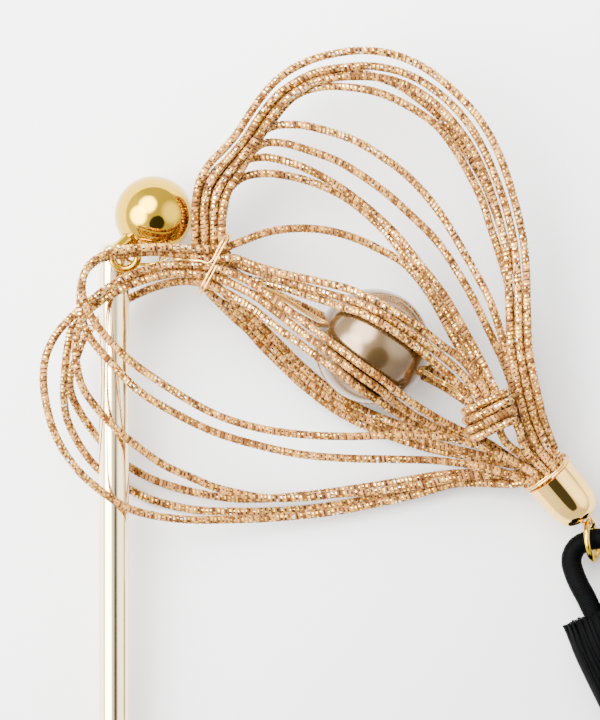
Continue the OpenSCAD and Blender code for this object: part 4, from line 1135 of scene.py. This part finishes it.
class OBJECT_OT_hairpin_tassel(bpy.types.Operator):
    """Makes the tassel's loop, head, neck and fringe from black yarn"""

    bl_idname = "object.hairpin_tassel"
    bl_label = "Tassel"

    def execute(self, context):
        look = context.scene.hairpin_tassel_look
        yarn = silk_finish(look)
        chance = np.random.default_rng(7)
        loop = smooth(np.array(LOOP_ROUTE) * MM, 0.3 * MM) - START
        mesh = wound_mesh(loop, LOOP / 2, 20, look.loop_pitch, (0.94, 0.985, 1.0, 0.985))
        piece("tassel_loop_wound", mesh, yarn, "tassel_loop")

        fringe = []
        for lock in range(LOCKS):
            fringe += self.lock(lock, look, chance)
        piece("tassel_fringe", join_meshes(fringe), yarn, "tassel")
        head = join_meshes(self.head(look, chance))
        piece("tassel_head", head, yarn, "tassel")
        self.core(yarn)
        neck = turns(7, 32, NECK_REACH, NECK_REACH, 0.26 * MM, 1, 0)
        neck[:, 0] += HEAD_LEN - 0.95 * MM
        mesh = tube_mesh(tassel_place(neck), BINDING / 2, 8)
        piece("tassel_binding", mesh, yarn, "tassel")
        return {"FINISHED"}

    def lock(self, lock, look, chance):
        """The threads of one lock, inside the form that the CAD gives it."""
        angle = 2 * np.pi * lock / LOCKS
        strands = []
        for strand in range(look.strands):
            spread = np.sqrt((strand + 0.5) / look.strands) * (LOCK / 2 - look.strand / 2)
            turn = strand * GOLDEN_TURN
            phase = chance.uniform(0, 2 * np.pi)
            short = chance.uniform(0.0, 0.04)
            t = np.linspace(0, 1, 9) * (1 - short)
            down = HEAD_LEN + 0.6 * MM + FRINGE_LEN * t * (1 - 0.04 * abs(np.sin(angle * 2.5)))
            across = np.cos(angle) * (2.4 + 3.2 * t) * MM
            across += 0.5 * MM * np.sin(np.radians(200 * t + 80 * lock)) * t
            across += spread * np.cos(turn) + 0.16 * MM * np.sin(phase + 5 * t) * t
            up = np.sin(angle) * (2.2 - 0.2 * t) * MM - 0.35 * MM * t + spread * np.sin(turn)
            placed = tassel_place(np.stack((down, across, up), axis=1))
            placed[:, 2] = np.maximum(placed[:, 2], look.strand / 2)
            strands.append(tube_mesh(placed, look.strand / 2, 4, first=strand * 7.0))
        return strands

    def core(self, yarn):
        """A full core with the two holes that the loop's ends go into."""
        sections = np.array(HEAD_SECTIONS) * (MM, HEAD / 2)
        middle = np.stack((sections[:, 0], 0 * sections[:, 0], 0 * sections[:, 0]), axis=1)
        mesh = tube_mesh(tassel_place(middle), sections[:, 1] - 0.14 * MM, 24)
        core = piece("tassel_core", mesh, yarn, "tassel")
        for across in LOOP_HOLES:
            bpy.ops.mesh.primitive_cylinder_add(vertices=32, radius=LOOP_HOLE / 2, depth=1.7 * MM)
            hole = put(bpy.context.object, (0.75 * MM, across, 0), (0, 90, 0))
            solder(core, put(hole, HEAD_AT - START, (0, 0, TASSEL_TURN)), "DIFFERENCE")

    def head(self, look, chance):
        """The threads that lie over the core, from the loop down to the neck."""
        sections = np.array(HEAD_SECTIONS) * (MM, HEAD / 2)
        parts = []
        count = 110
        steps = np.linspace(0, 1, 17) ** 1.5
        for strand in range(count):
            turn = 2 * np.pi * (strand + chance.uniform(-0.3, 0.3)) / count
            phase = chance.uniform(0, 2 * np.pi)
            lengths = steps * sections[-1, 0]
            reach = np.interp(lengths, sections[:, 0], sections[:, 1]) - look.strand / 2
            # some threads stand off a little at the top
            flare = chance.uniform(0, 1) ** 3 * 0.5 * MM * np.exp(-lengths / (0.8 * MM))
            reach = reach + flare
            around = turn + 0.05 * np.sin(phase + 4 * steps)
            path = (lengths - flare * 0.4, reach * np.cos(around), reach * np.sin(around))
            path = np.stack(path, axis=1)
            parts.append(tube_mesh(tassel_place(path), look.strand / 2, 5, first=strand * 3.0))
        return parts


class OBJECT_OT_hairpin_stage(bpy.types.Operator):
    """Lays the floor, and sets the lights and the camera"""

    bl_idname = "object.hairpin_stage"
    bl_label = "Stage"

    def execute(self, context):
        look = context.scene.hairpin_stage_look
        bpy.ops.mesh.primitive_plane_add(size=8, location=(0, 0, 0))
        floor = context.object
        floor.name = "floor"
        paint = Finish("pale_floor")
        here = paint.place()
        # painted shade: the floor darkens towards the lower right
        painted_shade_lower_right = (paint.part(here, "X") - paint.part(here, "Y") + 0.06).between(-0.06, 0.08)
        shade = paint.mix(look.floor, look.floor_painted_shade, painted_shade_lower_right)
        paint.surface(base_color=shade, roughness=0.9)
        floor.data.materials.append(paint.material)
        self.light(context, look)
        self.camera(context, look)
        return {"FINISHED"}

    def light(self, context, look):
        """A soft room: windows at the upper left, a pale panel at the right, a dark place between."""
        room = bpy.data.worlds.new("studio")
        context.scene.world = room
        room.use_nodes = True
        studio = Nodes(room.node_tree)
        way = studio.node("TexCoord", {}, {}, "Generated")

        def towards(x, y, z):
            aim = [float(part) for part in unit(np.array((x, y, z)))]
            inputs = {0: way, 1: aim}
            return studio.node("VectorMath", {"operation": "DOT_PRODUCT"}, inputs, "Value")

        blur = studio.noise(way, 2.6, detail=3.0) * 0.12 - 0.06
        window = (towards(-0.3, 0.5, 0.81) + blur * 0.5).between(0.86, 0.97)
        window = window + (towards(-0.72, -0.02, 0.69) + blur * 0.5).between(0.86, 0.97)
        shade = (towards(0.17, -0.42, 0.89) + blur * 0.5).between(0.91, 0.94)
        left = towards(-1, 0, 0.4).between(0.3, 0.9)
        right = towards(1, 0, 0.3).between(0.2, 0.9)
        soft = towards(0.8, 0.12, 0.58).between(0.8, 0.98)
        wall = (left * 0.6 - right * 0.15 + soft * 1.6 + 1) * look.room
        power = (wall + window * look.window) * (1 - shade * 0.94)
        back = room.node_tree.nodes["Background"]
        studio.feed(back, {"Color": (*look.light, 1.0), "Strength": power})

    def camera(self, context, look):
        view = bpy.data.cameras.new("camera")
        view.sensor_fit = "VERTICAL"
        view.sensor_height = 36
        view.lens = 36 * (look.camera_height - VIEW_UP) / VIEW_LEN
        view.clip_start = 0.01
        view.clip_end = 100
        camera = bpy.data.objects.new("camera", view)
        context.scene.collection.objects.link(camera)
        camera.location = (*VIEW_AT, look.camera_height)
        context.scene.camera = camera


class VIEW3D_PT_hairpin(bpy.types.Panel):
    """Lists the pieces of the hair stick"""

    bl_label = "Hair stick"
    bl_idname = "VIEW3D_PT_hairpin"
    bl_space_type = "VIEW_3D"
    bl_region_type = "UI"
    bl_category = "Hair stick"

    def draw(self, context):
        for maker in MAKERS:
            self.layout.operator(maker.bl_idname)


LOOKS = {
    "hairpin_cord_look": CordLook,
    "hairpin_metal_look": MetalLook,
    "hairpin_pearl_look": PearlLook,
    "hairpin_tassel_look": TasselLook,
    "hairpin_stage_look": StageLook,
}
MAKERS = (
    OBJECT_OT_hairpin_stick,
    OBJECT_OT_hairpin_ball,
    OBJECT_OT_hairpin_cap,
    OBJECT_OT_hairpin_wires,
    OBJECT_OT_hairpin_cords,
    OBJECT_OT_hairpin_pearl,
    OBJECT_OT_hairpin_tassel,
    OBJECT_OT_hairpin_stage,
)


def register():
    for part in (*LOOKS.values(), *MAKERS, VIEW3D_PT_hairpin):
        bpy.utils.register_class(part)
    for name, look in LOOKS.items():
        setattr(bpy.types.Scene, name, PointerProperty(type=look))


def unregister():
    for name in LOOKS:
        delattr(bpy.types.Scene, name)
    for part in (VIEW3D_PT_hairpin, *reversed(MAKERS), *LOOKS.values()):
        bpy.utils.unregister_class(part)


def main():
    register()
    bpy.ops.object.hairpin_stick()
    bpy.ops.object.hairpin_ball()
    bpy.ops.object.hairpin_cap()
    bpy.ops.object.hairpin_wires()
    bpy.ops.object.hairpin_cords()
    bpy.ops.object.hairpin_pearl()
    bpy.ops.object.hairpin_tassel()
    bpy.ops.object.hairpin_stage()


if __name__ == "__main__":
    main()
